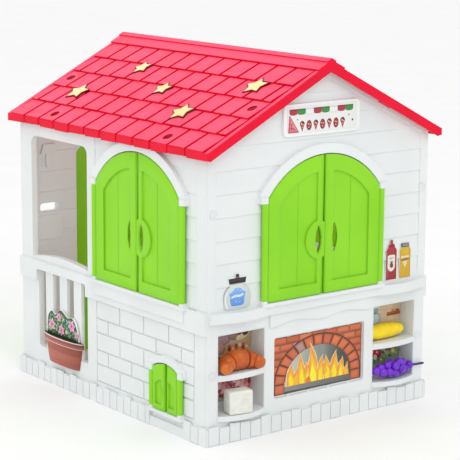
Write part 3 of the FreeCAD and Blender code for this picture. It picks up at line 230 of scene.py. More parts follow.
# paints a highlight on the roof's tile faces and shade in its grooves and on its edges
roof_painted_highlight_and_shade(ROOF)
SCREW = moulded("screw_plastic", "8E0420", "7C031A", 0.3, 0.4, 0.08, shine=0.2)
LEAF = moulded("leaf_plastic", "92DC26", "88D41A", 0.34, 0.46, 0.12, soft_edge=2.5, shine=0.3)
STAR = moulded("star_vinyl", "F7EDB0", "EFE093", 0.28, 0.38, 0.05)
SIGN = moulded("sign_plastic", "F4F5F4", "ECEEED", 0.26, 0.34, 0.04)
PRINT = printed("printed_sheet")


def finish_cad(name, material, width=0.0):
    """Gives a CAD node its material, and with a width in mm rounds its edges; its mesh stays as it is."""
    item = NODES[name]
    item.data.materials.clear()
    item.data.materials.append(material)
    weld = item.modifiers.new("weld", "WELD")
    weld.merge_threshold = 0.00002
    if width:
        flat = item.modifiers.new("flat", "DECIMATE")
        flat.decimate_type = "DISSOLVE"
        flat.angle_limit = math.radians(0.6)
        bevel = item.modifiers.new("bevel", "BEVEL")
        bevel.width = width * MM
        bevel.segments = 2
        bevel.limit_method = "ANGLE"
        bevel.angle_limit = math.radians(28)
        bevel.use_clamp_overlap = True
    weighted = item.modifiers.new("weighted", "WEIGHTED_NORMAL")
    weighted.keep_sharp = False
    weighted.weight = 80


for name in ("front_wall", "back_wall", "left_wall", "right_wall"):
    finish_cad(name, WALL, 1.2)
for name in ("roof_left", "roof_right"):
    finish_cad(name, ROOF, 1.4)
for name in ("shelf_unit_left", "shelf_unit_right"):
    finish_cad(name, SHELF, 1.2)
finish_cad("wall_screw_caps", CAP, 0.4)
finish_cad("roof_screws", SCREW, 0.3)
finish_cad("oven_plate", SHELF, 0.5)
finish_cad("sign_board", SIGN, 1.0)
for name in NODES:
    if "shutter" in name or "door_" in name:
        finish_cad(name, LEAF)


# ---------------------------------------------------------------- making pieces
def make_piece(name, shape, material, body, replaces=(), soften=True, subdivide=0):
    """Turns a bmesh into an object that rides on a CAD body."""
    bmesh.ops.recalc_face_normals(shape, faces=shape.faces)
    mesh = bpy.data.meshes.new(name)
    shape.to_mesh(mesh)
    shape.free()
    mesh.materials.append(material)
    item = bpy.data.objects.new(name, mesh)
    show(item)
    for face in mesh.polygons:
        face.use_smooth = soften
    if subdivide:
        modifier = item.modifiers.new("smooth", "SUBSURF")
        modifier.levels = subdivide
        modifier.render_levels = subdivide
    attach(item, body)
    if replaces:
        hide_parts(*replaces)
    return item


def loft(shape, rings):
    """A closed skin through rings of points, with a fan at each end."""
    rows = [[shape.verts.new(point) for point in ring] for ring in rings]
    count = len(rows[0])
    for lower, upper in zip(rows, rows[1:]):
        for index in range(count):
            after = (index + 1) % count
            shape.faces.new((lower[index], lower[after], upper[after], upper[index]))
    for row in (rows[0], rows[-1]):
        middle = shape.verts.new(sum((v.co for v in row), Vector()) / count)
        for index in range(count):
            shape.faces.new((row[index], row[(index + 1) % count], middle))


def tube_rings(path, radius, around, shape=None):
    """Rings square to a path; radius(t) in metres, shape(t, angle) scales it."""
    rings = []
    for index, point in enumerate(path):
        before = path[max(0, index - 1)]
        after = path[min(len(path) - 1, index + 1)]
        along = (after - before).normalized()
        side = along.cross(Vector((0, 0, 1))).normalized()
        top = side.cross(along)
        t = index / (len(path) - 1)
        ring = []
        for step in range(around):
            angle = 2 * math.pi * step / around
            reach = radius(t) * (shape(t, angle) if shape else 1.0)
            ring.append(point + reach * (math.cos(angle) * side + math.sin(angle) * top))
        rings.append(ring)
    return rings


# ---------------------------------------------------------------- printed artwork
def turned(a, b, x, y, turn):
    """The point (x, y) turned about the origin and moved to (a, b)."""
    return (a + x * math.cos(turn) - y * math.sin(turn), b + x * math.sin(turn) + y * math.cos(turn))


def ellipse(a, b, ra, rb, turn=0.0, count=20, wobble=0.0, seed=0.0):
    points = []
    for index in range(count):
        angle = 2 * math.pi * index / count
        uneven = 1 + wobble * noise.noise(Vector((math.cos(angle) * 1.7, math.sin(angle) * 1.7, seed)))
        points.append(turned(a, b, ra * uneven * math.cos(angle), rb * uneven * math.sin(angle), turn))
    return points


def bar(a0, b0, a1, b1, corner=0.0):
    """An upright rectangle with cut or rounded corners."""
    corner = min(corner, (a1 - a0) / 2.01, (b1 - b0) / 2.01)
    if corner <= 0:
        return [(a0, b0), (a1, b0), (a1, b1), (a0, b1)]
    points = []
    for x, y, start in ((a1 - corner, b0 + corner, -90), (a1 - corner, b1 - corner, 0),
                        (a0 + corner, b1 - corner, 90), (a0 + corner, b0 + corner, 180)):
        for step in range(4):
            angle = math.radians(start + 30 * step)
            points.append((x + corner * math.cos(angle), y + corner * math.sin(angle)))
    return points


def leaf_shape(a, b, length, width, turn):
    side = [(0.25, 0.42), (0.55, 0.5), (0.85, 0.25)]
    points = [(0, 0)] + [(x, -y) for x, y in side] + [(1, 0)] + side[::-1]
    return [turned(a, b, length * x, width * y, turn) for x, y in points]


def smooth_line(points, steps=6):
    """A Catmull-Rom line through the points."""
    line = []
    for index in range(len(points) - 1):
        p0 = points[max(0, index - 1)]
        p1, p2 = points[index], points[index + 1]
        p3 = points[min(len(points) - 1, index + 2)]
        for step in range(steps):
            t = step / steps
            line.append(tuple(0.5 * (2 * p1[k] + (p2[k] - p0[k]) * t
                                     + (2 * p0[k] - 5 * p1[k] + 4 * p2[k] - p3[k]) * t * t
                                     + (3 * p1[k] - p0[k] - 3 * p2[k] + p3[k]) * t ** 3) for k in (0, 1)))
    line.append(tuple(points[-1]))
    return line


def shaded(colour, share):
    """Six hex digits or an RGBA, made lighter or darker, as linear RGBA."""
    tint = srgb(colour) if isinstance(colour, str) else colour
    return tuple(min(1.0, c * share) for c in tint[:3]) + (1.0,)


def blend_ink(first, second, t):
    a, b = srgb(first), srgb(second)
    return tuple(x + (y - x) * t for x, y in zip(a, b))


class Art:
    """Printed patches on a sheet: thin closed plates, placed in mm from the sheet's middle."""

    def __init__(self, node, facing="front"):
        self.low, self.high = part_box(node)
        self.middle = (self.low + self.high) / 2
        self.facing = facing
        self.shape = bmesh.new()
        self.ink = self.shape.loops.layers.float_color.new("ink")

    def place(self, a, b, out):
        if self.facing == "front":
            return Vector((self.middle.x + a * MM, self.low.y - out * MM, self.middle.z + b * MM))
        return Vector((self.low.x - out * MM, self.middle.y - a * MM, self.middle.z + b * MM))

    def patch(self, outline, colour, level):
        """colour is six hex digits, an RGBA, or a function of (a, b) that gives an RGBA."""
        front = [self.shape.verts.new(self.place(a, b, PRINT_STEP * level)) for a, b in outline]
        rear = [self.shape.verts.new(self.place(a, b, PRINT_BACK)) for a, b in outline]
        count = len(outline)
        faces = [self.shape.faces.new(front), self.shape.faces.new(rear[::-1])]
        for index in range(count):
            after = (index + 1) % count
            faces.append(self.shape.faces.new((front[index], rear[index], rear[after], front[after])))
        tint = srgb(colour) if isinstance(colour, str) else colour
        where = {v: p for v, p in zip(front + rear, list(outline) * 2)}
        for face in faces:
            for loop in face.loops:
                loop[self.ink] = tint(*where[loop.vert]) if callable(tint) else tint

    def finish(self, name, replaces=(), slot="printed_sheet"):
        make_piece(name, self.shape, PRINT, "house", replaces, soften=False)


def uneven(colour, amount, seed):
    """The same colour, a little lighter or darker."""
    return shaded(colour, 1 + amount * noise.noise(Vector((seed * 3.7, seed * 1.3, 0.5))) * 2)


def sign_art():
    """An awning, a slice of pizza, and a row of plain slices and rounds."""
    art = Art("sign_print")
    pitch = 31.4
    for index in range(8):
        a0 = -130 + index * pitch
        tone = ("B4343E", "3F8F3C", "F2F4F3")[index % 3]
        dark = ("8E1F2C", "2B6E2C", "D9DEDD")[index % 3]
        low = [(a0 + pitch * (0.5 + 0.5 * math.cos(math.pi * (1 + step / 8))),
                21.5 - 6.5 * math.sin(math.pi * step / 8) ** 0.7) for step in range(9)]
        if index % 3 == 2:
            edge = [(a, b - 0.9) for a, b in low]
            art.patch(edge + [(a0 + pitch, 32), (a0, 32)], "B4BCBB", 1)
        art.patch(low + [(a0 + pitch, 32.5), (a0, 32.5)], tone, 2)
        art.patch([(a0, 29.5), (a0 + pitch, 29.5), (a0 + pitch, 33.5), (a0, 33.5)], dark, 3)
    art.patch([(-134, -37), (-92, -37), (-127, 14), (-131, 14)], "A52A3C", 1)
    art.patch([(-131.5, -34.5), (-96.5, -34.5), (-127, 11), (-130, 11)], "F08C96", 2)
    for step in range(4):
        top = -130 + step * 9.5
        tip = -128.6 + step * 1.2
        art.patch([(top, -34), (top + 2.6, -34), (tip + 1, 8 - step * 9), (tip, 8 - step * 9)], "B4343E", 3)
    for step in range(3):
        b = -24 + step * 13
        end = -130.5 + 30 * (1 - (b + 36) / 50)
        art.patch([(-130.5, b), (end, b - 3), (end, b - 0.4), (-130.5, b + 2.6)], "C24A58", 4)
    for index in range(7):
        a = -80 + index * 26.6
        if index % 2 == 0:
            crust = [(a + 12.5 * math.sin(x), -36 + 33 * math.cos(x * 0.8))
                     for x in (0.9, 0.6, 0.3, 0, -0.3, -0.6, -0.9)]
            slice_up = [(a, -36)] + crust
            art.patch(slice_up, "7E1A30", 1)
            art.patch([(a + 0.72 * (x - a), -33.5 + 0.72 * (y + 33.5)) for x, y in slice_up], "A8283E", 2)
            for dx, dy, r in ((-2.5, -12, 2.6), (3.2, -15, 2.2), (0.3, -22, 1.8)):
                art.patch(ellipse(a + dx, dy, r, r, count=10), "F3DCA6", 3)
        else:
            art.patch(ellipse(a, -18, 10.5, 15.5), "7E1A30", 1)
            art.patch(ellipse(a, -18, 8.0, 12.5), "A8283E", 2)
            for step in range(3):
                angle = 2.1 * step + 0.4
                spot = ellipse(a + 4 * math.cos(angle), -18 + 6 * math.sin(angle), 1.9, 2.3, count=10)
                art.patch(spot, "F3DCA6", 3)
    art.patch(ellipse(119, -14, 3.2, 3.6, count=14), "23262A", 1)
    art.patch(ellipse(118.4, -13.2, 1.0, 1.2, count=10), "5E6468", 2)
    art.patch(leaf_shape(103, -2, 9, 5, 1.2), "7FA98A", 1)
    art.patch(leaf_shape(-100, 4, 6, 3.5, -0.9), "3C4A44", 1)
    art.finish("sign_art")


def oven_art():
    """A brick oven: courses of bricks, an arch of stones, a dark hollow and flames."""
    art = Art("oven_print")
    half, foot = 178.5, -89.5
    spring, outer, inner = -58.0, (173.0, 137.0), (134.0, 104.0)

    def inside_arch(a, b, margin):
        if b < spring:
            return abs(a) < outer[0] + margin
        return (a / (outer[0] + margin)) ** 2 + ((b - spring) / (outer[1] + margin)) ** 2 < 1

    row_height, length = 22.4, 51.0
    for row in range(8):
        b0 = 89.5 - (row + 1) * row_height
        shift = 0.0 if row % 2 == 0 else -length / 2
        for column in range(9):
            a0 = -half + shift + column * length
            left, right = max(a0 + 1.4, -half + 0.6), min(a0 + length - 1.4, half - 0.6)
            low, high = b0 + 1.3, b0 + row_height - 1.3
            if right - left < 6 or all(inside_arch(a, b, -8) for a in (left, right) for b in (low, high)):
                continue
            seed = row * 11.3 + column * 2.7
            pale = row in (2, 3, 4) and -150 < a0 < -70 or row == 1 and a0 in (-half + shift + 2 * length,)
            base = "B08A8C" if pale else ("C4643A", "B85A34", "CC6E42")[(row * 2 + column) % 3]
            tone = uneven(base, 0.10, seed)
            art.patch(bar(left, low, right, high, 2.0), tone, 1)
            art.patch(bar(left + 3, b0 + 8, right - 5, b0 + row_height - 3.5, 3.0), shaded(tone, 1.22), 2)
            art.patch(bar(left + 2, b0 + 1.6, right - 2, b0 + 4.6, 1.2), shaded(tone, 0.72), 2)
    reach, rise = outer[0] * 1.025, outer[1] * 1.03
    angles = [math.pi * step / 36 for step in range(37)]
    ring = [(reach * math.cos(x), spring + rise * math.sin(x)) for x in angles]
    art.patch([(-reach, foot), (reach, foot)] + ring, "6B2E1C", 3)

    def on_arch(angle, share):
        ra = inner[0] + (outer[0] - inner[0]) * share
        rb = inner[1] + (outer[1] - inner[1]) * share
        return (ra * math.cos(angle), spring + rb * math.sin(angle))

    def stone(outline, seed):
        tone = uneven("B28680" if seed in (15.2, 17.1) else "C9683E", 0.10, seed)
        middle_a = sum(a for a, b in outline) / len(outline)
        middle_b = sum(b for a, b in outline) / len(outline)
        art.patch(outline, shaded(tone, 0.78), 4)
        for share, shift, light, level in ((0.86, 0.0, 1.0, 5), (0.62, 1.2, 1.2, 6)):
            smaller = [(middle_a + share * (a - middle_a) - shift, middle_b + share * (b - middle_b) + shift)
                       for a, b in outline]
            art.patch(smaller, shaded(tone, light), level)

    count = 13
    for index in range(count):
        gap = 0.02
        a0 = math.pi * index / count + gap
        a1 = math.pi * (index + 1) / count - gap
        steps = [a0 + (a1 - a0) * k / 4 for k in range(5)]
        stone([on_arch(x, 0.97) for x in steps] + [on_arch(x, 0.03) for x in reversed(steps)], index * 1.9)
    for side in (-1, 1):
        edges = sorted((side * (inner[0] + 1), side * (outer[0] - 1)))
        stone(bar(edges[0], foot + 1.5, edges[1], spring - 1.6, 3.0), 40 + side)

    def cavity(a, b):
        t = min(1.0, max(0.0, (a + 95) / 190))
        light = blend_ink("BFC6BC", "454A42", t ** 0.8)
        return shaded(light, 1.0 + 0.25 * math.exp(-((a - 22) / 14) ** 2))

    strips = 26
    for index in range(strips):
        a0 = -inner[0] + 2 * inner[0] * index / strips
        a1 = a0 + 2 * inner[0] / strips
        tops = [(a, spring + inner[1] * math.sqrt(max(0.0, 1 - (a / inner[0]) ** 2))) for a in (a1, a0)]
        art.patch([(a0, foot), (a1, foot)] + [(a, max(b, foot + 1)) for a, b in tops], cavity, 5)
    art.patch([(-inner[0], foot), (inner[0], foot), (inner[0], foot + 22), (-inner[0], foot + 22)],
              lambda a, b: blend_ink("8C8D8A", "63645F", (a + inner[0]) / (2 * inner[0])), 6)
    art.patch([(-inner[0], foot), (inner[0], foot), (inner[0], foot + 3), (-inner[0], foot + 6)], "4A4A46", 7)

    def flame(a, height, width, lean, seed, colour, level, low=-68.0):
        """A tongue with a hooked tip and uneven sides."""
        left, right = [], []
        steps = 12
        for step in range(steps + 1):
            t = step / steps
            body = width * math.sin(math.pi * min(1.0, 0.30 + 0.70 * t)) ** 0.9 * (1 - 0.25 * t)
            sway = lean * t * t + 2.2 * math.sin(5.5 * t + seed)
            ripple = 1.3 * math.sin(9 * t + 2 * seed)
            left.append((a + sway - body + ripple, low + height * t))
            right.append((a + sway + body + ripple * 0.4, low + height * t))
        left[-1] = right[-1] = (a + lean * 1.35, low + height * 1.04)
        art.patch(right[:-1] + [right[-1]] + left[-2::-1], colour, level)

    embers = smooth_line([(112, -44), (60, -48), (10, -40), (-50, -46), (-112, -50)], 4)
    art.patch([(-128, -69), (128, -69), (126, -52)] + embers + [(-127, -56)],
              lambda a, b: blend_ink("F3A431", "F07A2A", math.exp(-((a + 22) / 42) ** 2)), 7)
    tongues = [(-112, 70, 20, 6), (-66, 96, 21, -6), (-90, 52, 16, 4), (-20, 122, 25, -10), (8, 78, 20, 10),
               (38, 76, 19, -5), (64, 84, 22, 8), (92, 60, 18, 6), (112, 40, 10, 9), (-42, 66, 18, -4)]
    for index, (a, height, width, lean) in enumerate(tongues):
        flame(a, height, width, lean, index * 1.3, "FCE9B0", 8 + 0.2 * index)
        flame(a, height * 0.97, width * 0.88, lean, index * 1.3, "F3A038", 10 + 0.2 * index)
    for index, (a, height, width, lean) in enumerate(tongues):
        flame(a + 1, height * 0.74, width * 0.62, lean * 0.7, index * 1.7, "FBC02E", 12.2 + 0.2 * index)
    for index, (a, height, width, lean) in enumerate(tongues):
        if height > 55:
            flame(a + 1.5, height * 0.52, width * 0.44, lean * 0.4, index * 2.1, "FFE81E", 14.4 + 0.2 * index)
    flame(-30, 26, 22, 8, 2.0, "EE7B2C", 16.6)
    flame(-20, 52, 13, -3, 1.0, "FFF23C", 16.8)
    art.finish("oven_art", slot="oven_print")


def jar_art():
    """A glass jar with a dark lid and a plain blue cake on it."""
    art = Art("jar_sticker")
    side = [(14, 17), (31, 14), (44, 2), (50, -17), (48, -36), (40, -52)]
    body = [(-a, b) for a, b in side] + side[::-1]
    round_body = smooth_line(body[::-1], 3)
    art.patch([(1.02 * a, 1.02 * b) for a, b in round_body], "C4CBC8", 1)
    art.patch(round_body, lambda a, b: blend_ink("E4E8E6", "CDD3CF", abs(a) / 60), 2)
    right_edge = [(41, -50), (47, -36), (49, -17), (43, 1), (39, 1), (44, -17), (42, -36), (35, -50)]
    left_shine = [(-38, -50), (-44, -35), (-46, -17), (-39.5, -1), (-36, -2), (-42, -17), (-40, -34),
                  (-33, -48)]
    art.patch(smooth_line(right_edge, 3), "D6D9C9", 3)
    art.patch(smooth_line(left_shine, 3), "F6F8F7", 3)
    art.patch([(-30, 16), (30, 16), (28, 23), (-28, 23)], "DCE1DF", 3)
    art.patch(bar(-35.5, 22, 35.5, 42.5, 4), "F7F8F7", 3)
    art.patch(bar(-9.5, 40, 9.5, 54.5, 3), "F7F8F7", 3)
    art.patch([(-30.5, 24), (30.5, 24), (33.5, 40.5), (-33.5, 40.5)], "1E1C1B", 4)
    art.patch([(-28, 33), (28, 33), (29, 36), (-29, 36)], "3F3A38", 5)
    art.patch(bar(-6.5, 38, 6.5, 52.5, 2), "27211F", 5)
    art.patch(bar(-5, 40.5, 5, 44, 1), "7A706B", 6)
    cake = smooth_line([(-22, -43), (20, -43), (27, -26), (29, -12), (33, -6), (22, 0), (12, 9), (-2, 11),
                        (-13, 8), (-20, 0), (-32, -6), (-27, -14), (-27, -28), (-22, -43)], 4)[:-1]
    band = [(-22, -20), (-8, -17), (8, -18), (22, -14), (22, -8), (8, -11), (-8, -10), (-22, -14)]
    art.patch([(1.06 * a, -17 + 1.06 * (b + 17)) for a, b in cake], "DDEBFA", 4)
    art.patch(cake, lambda a, b: blend_ink("5E93E0", "86B8F6", min(1.0, max(0.0, (b + 43) / 50))), 5)
    art.patch(smooth_line(band, 3), "D5ECFB", 6)
    for a, b, r in ((-12, 3, 3.0), (2, 6, 3.4), (13, 1, 2.6), (-4, -31, 3.4), (9, -33, 2.6)):
        art.patch(ellipse(a, b, r, r * 0.8, count=12), "A9CCF8", 7)
    art.finish("jar_art", replaces=("jar_sticker",))


def bottle_art(node, outline, edge, pale, deep):
    """The bottle's print with a pale cut edge and shading across its round body."""
    art = Art(node)
    art.patch([(a * 1.09, b * 1.015) for a, b in outline], "F3F1EE", 1)
    art.patch(outline, edge, 2)
    inner = [(a * 0.86, b * 0.985) for a, b in outline]
    art.patch(inner, lambda a, b: blend_ink(pale, deep, min(1.0, abs(a + 3) / 22)), 3)
    return art


def bottles():
    side = [(22.5, -63.5), (22.5, 30), (14, 41), (13, 49), (6.5, 51), (4.5, 64.5)]
    red = [(-22.5, -63.5)] + side + [(-a, b) for a, b in side[:0:-1]]
    art = bottle_art("red_bottle_sticker", red, "7E1620", "C03038", "A3202C")
    art.patch([(-12, 49), (12, 49), (13, 41.5), (-13, 41.5)][::-1], "8A1A24", 4)
    angles = [math.pi * step / 10 for step in range(11)]
    foot = [(-16 * math.cos(x), -20 - 17 * math.sin(x)) for x in angles]
    label = [(-16, 14)] + foot + [(16, 14), (8, 16.5), (-8, 16.5)]
    art.patch([(a * 1.08, -8 + 1.05 * (b + 8)) for a, b in label], "6E1A20", 4)
    art.patch(label, "EFE6DA", 5)
    art.patch(ellipse(1.5, -17, 7.5, 8.5, 0.3, wobble=0.15), "8A1F38", 6)
    art.patch(ellipse(3.5, -14.5, 2.2, 2.6, 0.3), "B4475A", 7)
    for turn in (0.5, 1.5, 2.6):
        art.patch(leaf_shape(1.5, -9, 8, 3.4, turn), "4E6B45", 7)
    art.patch(leaf_shape(-11, 4, 22, 3.2, 0.12), "8B8F84", 6)
    art.patch([(-19, -60), (-16, -60), (-16, 28), (-19, 26)], "D5606A", 4)
    art.finish("red_bottle_art", replaces=("red_bottle_sticker",), slot="red_print")
    yellow = [(-23.5, -56), (23.5, -56), (23.5, 32), (17, 44), (-17, 44), (-23.5, 32)]
    art = bottle_art("yellow_bottle_sticker", yellow, "C29A1C", "E6C63A", "D6A91E")
    art.patch([(-17, 43), (17, 43), (17, 55), (-17, 56)], "54545A", 4)
    art.patch([(-12, 46), (16, 46), (16, 53.5), (-12, 54)], "8D8C90", 5)
    art.patch([(0, -24), (18, 14), (-18, 14)], "EFE2B8", 4)
    art.patch([(0, -17), (13, 11), (-13, 11)], "E9DB8C", 5)
    art.patch(ellipse(0, 3, 18, 4.6, 0.06), "8F5A33", 6)
    art.patch(ellipse(0, 4.2, 14, 1.6, 0.06), "B98258", 7)
    art.patch(ellipse(4, 28, 13, 9, wobble=0.3), "DDBB14", 4)
    art.patch(ellipse(-12, -42, 8, 11, wobble=0.3), "E0AC10", 4)
    art.finish("yellow_bottle_art", replaces=("yellow_bottle_sticker",), slot="yellow_print")


def bread_art():
    """Loaves and sausages on planks, behind the left upper niche."""
    art = Art("niche_print_bread")
    half_a, half_b = 85.0, 48.0
    for index in range(9):
        b = -half_b + index * 10.7
        art.patch(bar(-half_a, b, half_a, b + 10.2), uneven("C9AE84", 0.16, index), 1)
    loaves = [(-60, 14, 30, 15, 0.5, "C98A45"), (-18, 20, 28, 18, 0.3, "A08087"),
              (18, 26, 24, 13, -0.2, "94706E"), (-62, -18, 26, 18, 0.9, "D9922F"),
              (-34, -8, 18, 20, 1.2, "B79083"), (52, 20, 30, 11, 0.25, "E2CDA0"),
              (62, 30, 12, 8, 0.1, "4E2A1C"), (40, 32, 9, 6, 0.4, "6B3A22")]
    for index, (a, b, ra, rb, turn, tone) in enumerate(loaves):
        art.patch(ellipse(a, b, ra, rb, turn, wobble=0.2, seed=index), shaded(tone, 0.6), 2 + index)
        crust = ellipse(a - 1, b + 1, ra * 0.88, rb * 0.85, turn, wobble=0.2, seed=index)
        art.patch(crust, tone, 2.5 + index)
        for step in (-0.4, 0.0, 0.4):
            art.patch(leaf_shape(a + ra * step - 4, b - 3, 9, 2.6, turn + 0.9), shaded(tone, 1.5), 3 + index)
    for index in range(26):
        a, b = 2 + 13 * (index % 6) + 5 * noise.noise(Vector((index, 2, 0))), -6 - 9 * (index // 6)
        tone = ("B5532F", "D98A66", "8C3A22", "E8C7A6")[index % 4]
        art.patch(ellipse(a, b, 7, 6, index, wobble=0.3, seed=index), tone, 12 + 0.2 * index)
    art.patch(ellipse(-50, -38, 16, 7, 0.2), "3A1E16", 12)
    art.finish("bread_print_art")


def meat_art():
    """Rows of cold cuts, behind the left lower niche."""
    art = Art("niche_print_meat")
    half_a, half_b = 85.0, 40.0
    art.patch(bar(-half_a, -half_b, half_a, half_b), "B9B3AC", 1)
    for index in range(60):
        column, row = index % 12, index // 12
        a = -78 + 14.2 * column + 5 * noise.noise(Vector((index, 0, 3)))
        b = 33 - 14 * row + 4 * noise.noise(Vector((0, index, 3)))
        tone = ("C23A56", "E79AA0", "8A1F3C", "F0C4BC", "D85A5E")[(index * 3 + row) % 5]
        art.patch(ellipse(a, b, 9.5, 6.2, 0.5 * index, wobble=0.4, seed=index), tone, 2 + 0.12 * index)
    art.patch(ellipse(-48, -18, 12, 16, 0.4, wobble=0.3), "C9B81E", 10)
    art.patch(ellipse(-46, -14, 7, 9, 0.4, wobble=0.3), "E3D648", 11)
    art.patch(ellipse(-76, -26, 8, 12, 0.2, wobble=0.3), "4A1424", 10)
    art.finish("meat_print_art")


def jars_art():
    """Tins, a flask and a round jar on a wooden shelf, behind the right upper niche."""
    art = Art("niche_print_jars")
    half_a, half_b = 85.0, 48.0
    for index in range(6):
        a0 = -half_a + index * 28.4
        art.patch(bar(a0, -half_b, a0 + 27.8, half_b), uneven("E0C7A4", 0.10, index + 5), 1)
    for b in (-38, -24, -10, 4, 18, 32, 44):
        art.patch(bar(-half_a, b, half_a, b + 1.4), "C9AC8A", 2)
    art.patch(ellipse(-22, -8, 22, 22), "9FB4BA", 4)
    art.patch(ellipse(-24, -6, 16, 17), "C3D4D9", 5)
    shelf = [(26, -2, half_a, 7, 0, "B4552A", 3), (26, -5, half_a, -1.5, 0, "7E3316", 4)]
    tins = [(46, 7, 60, 15, 2, "D98A3A", 4), (64, 7, 80, 13, 2, "8E4A22", 4)]
    flask = [(-85, -30, -52, 12, 9, "9A5A22", 4), (-80, -26, -58, 0, 7, "C9701E", 5),
             (-75, 10, -61, 26, 3, "6E4220", 4), (-77, 24, -59, 32, 2, "2E2420", 5)]
    neck = [(-32, 8, -12, 30, 4, "8FA6AD", 5), (-34, 27, -10, 33, 2, "DCE7EA", 6)]
    for a0, b0, a1, b1, corner, tone, level in shelf + tins + flask + neck:
        art.patch(bar(a0, b0, a1, b1, corner), tone, level)
    for index in range(5):
        tone = ("B5653A", "D9B27A", "8C5A3C")[index % 3]
        art.patch(ellipse(-68 + 34 * index, -34, 15, 7, wobble=0.3, seed=index), tone, 6)
    art.finish("jars_print_art")


def vegetables_art():
    """Fruit and vegetables among leaves, behind the right lower niche."""
    art = Art("niche_print_vegetables")
    half_a, half_b = 85.0, 40.0
    art.patch(bar(-half_a, -half_b, half_a, half_b), "8F9A7C", 1)
    for index in range(46):
        a = -80 + 14.5 * (index % 12) + 6 * noise.noise(Vector((index, 7, 1)))
        b = 34 - 15 * (index // 12)
        tone = ("3E7A3C", "6FA352", "2A5230", "A7C07A", "C9CBB0")[(index * 7) % 5]
        art.patch(leaf_shape(a, b, 17, 9, 0.9 * index), tone, 2 + 0.08 * index)
    for a, b, r, tone, pale in ((-62, 2, 18, "C9A812", "E8CC2E"), (-30, 12, 17, "B3202A", "DE4A46"),
                                (-8, 6, 15, "A81C26", "D9403E"), (30, 20, 10, "9A1E3A", "C24A62"),
                                (66, 24, 11, "7A1A30", "A83A50"), (58, 4, 9, "D9C21E", "F0E05A"),
                                (-66, -26, 14, "E07A1E", "F09A3C"), (10, -22, 16, "5E8C3A", "86B25A")):
        art.patch(ellipse(a, b, r, r * 0.92, wobble=0.25, seed=a), tone, 7)
        art.patch(ellipse(a - r * 0.2, b + r * 0.2, r * 0.62, r * 0.55, wobble=0.25, seed=b), pale, 8)
        art.patch(ellipse(a - r * 0.35, b + r * 0.4, r * 0.2, r * 0.16), "F8EFD8", 9)
    art.patch(ellipse(-20, -4, 7, 10, 0.4), "E9E4D4", 9)
    art.patch(ellipse(-76, -14, 8, 7), "17151A", 9)
    art.finish("vegetables_print_art")


def planter_art():
    """Dense leaves in seven greens, with five pink flowers and a cream one."""
    art = Art("planter_flowers", "left")
    half = 98.0
    tall = (art.high.z - art.low.z) / MM
    humps = [(-1, 0), (-0.94, 0.62), (-0.71, 0.87), (-0.47, 0.76), (-0.12, 1), (0.29, 0.8), (0.63, 0.82),
             (0.9, 0.44), (0.98, 0)]
    crown = smooth_line([(half * 0.965 * x, -tall / 2 + (tall - 3.5) * y) for x, y in humps], 6)
    art.patch(crown[::-1], "24512E", 1)

    def height_at(a):
        for (a0, b0), (a1, b1) in zip(crown, crown[1:]):
            if a0 <= a <= a1:
                return b0 + (b1 - b0) * (a - a0) / max(1e-6, a1 - a0)
        return -tall / 2

    greens = ("2F7440", "5FA865", "92C888", "1B4226", "3F8B52", "B4DCA4", "24564A")
    rand = random.Random(7)
    for index in range(420):
        a = rand.uniform(-92, 92)
        room = height_at(a) + tall / 2 - 9
        if room < 4:
            continue
        b = -tall / 2 + 1 + room * rand.random()
        turn = rand.uniform(0.4, 2.7)
        length = min(rand.uniform(8.0, 15.0), room)
        tip_a = a + length * math.cos(turn)
        if abs(tip_a) > 92 or b + length * math.sin(turn) > height_at(tip_a) - 2:
            continue
        art.patch(leaf_shape(a, b, length, 5.0, turn), greens[index % 7], 2 + 0.012 * index)

    def flower(a, b, radius, turn, tones):
        for index in range(6):
            angle = turn + index * math.pi / 3
            art.patch(leaf_shape(a, b, radius, radius * 0.62, angle), tones[index % 2], 8 + 0.15 * index)
            start = turned(a, b, 2, 0, angle)
            art.patch(leaf_shape(*start, radius * 0.6, radius * 0.2, angle), tones[2], 9.2 + 0.05 * index)
        art.patch(ellipse(a, b, radius * 0.2, radius * 0.2, count=12), tones[3], 10)

    pinks = ("F0A0C4", "F8C4DA", "DC74A6", "B84C80")
    creams = ("EFE3D0", "FBF3E4", "D9C2A0", "C99A5A")
    for a, b, radius, turn in ((-66, 30, 22, 0.3), (-23, 62, 17, 0.1), (-8, 21, 20, 0.5), (54, 46, 22, 0.2),
                               (82, 20, 14, 0.6), (22, 20, 8, 0.4)):
        b -= tall / 2
        art.patch(ellipse(a + 1.5, b - 1.5, radius * 0.85, radius * 0.8, wobble=0.3, seed=a), "16351E", 7)
        flower(a, b, radius, turn, pinks if radius > 9 else creams)
    for turn, tone in ((0.9, "79B6C8"), (2.1, "8CC8D8"), (-0.6, "5E9DB4"), (3.8, "6FB0C4")):
        art.patch(leaf_shape(29, 52 - tall / 2, 12, 7, turn), tone, 9)
    art.finish("planter_leaves", slot="leaf_print")


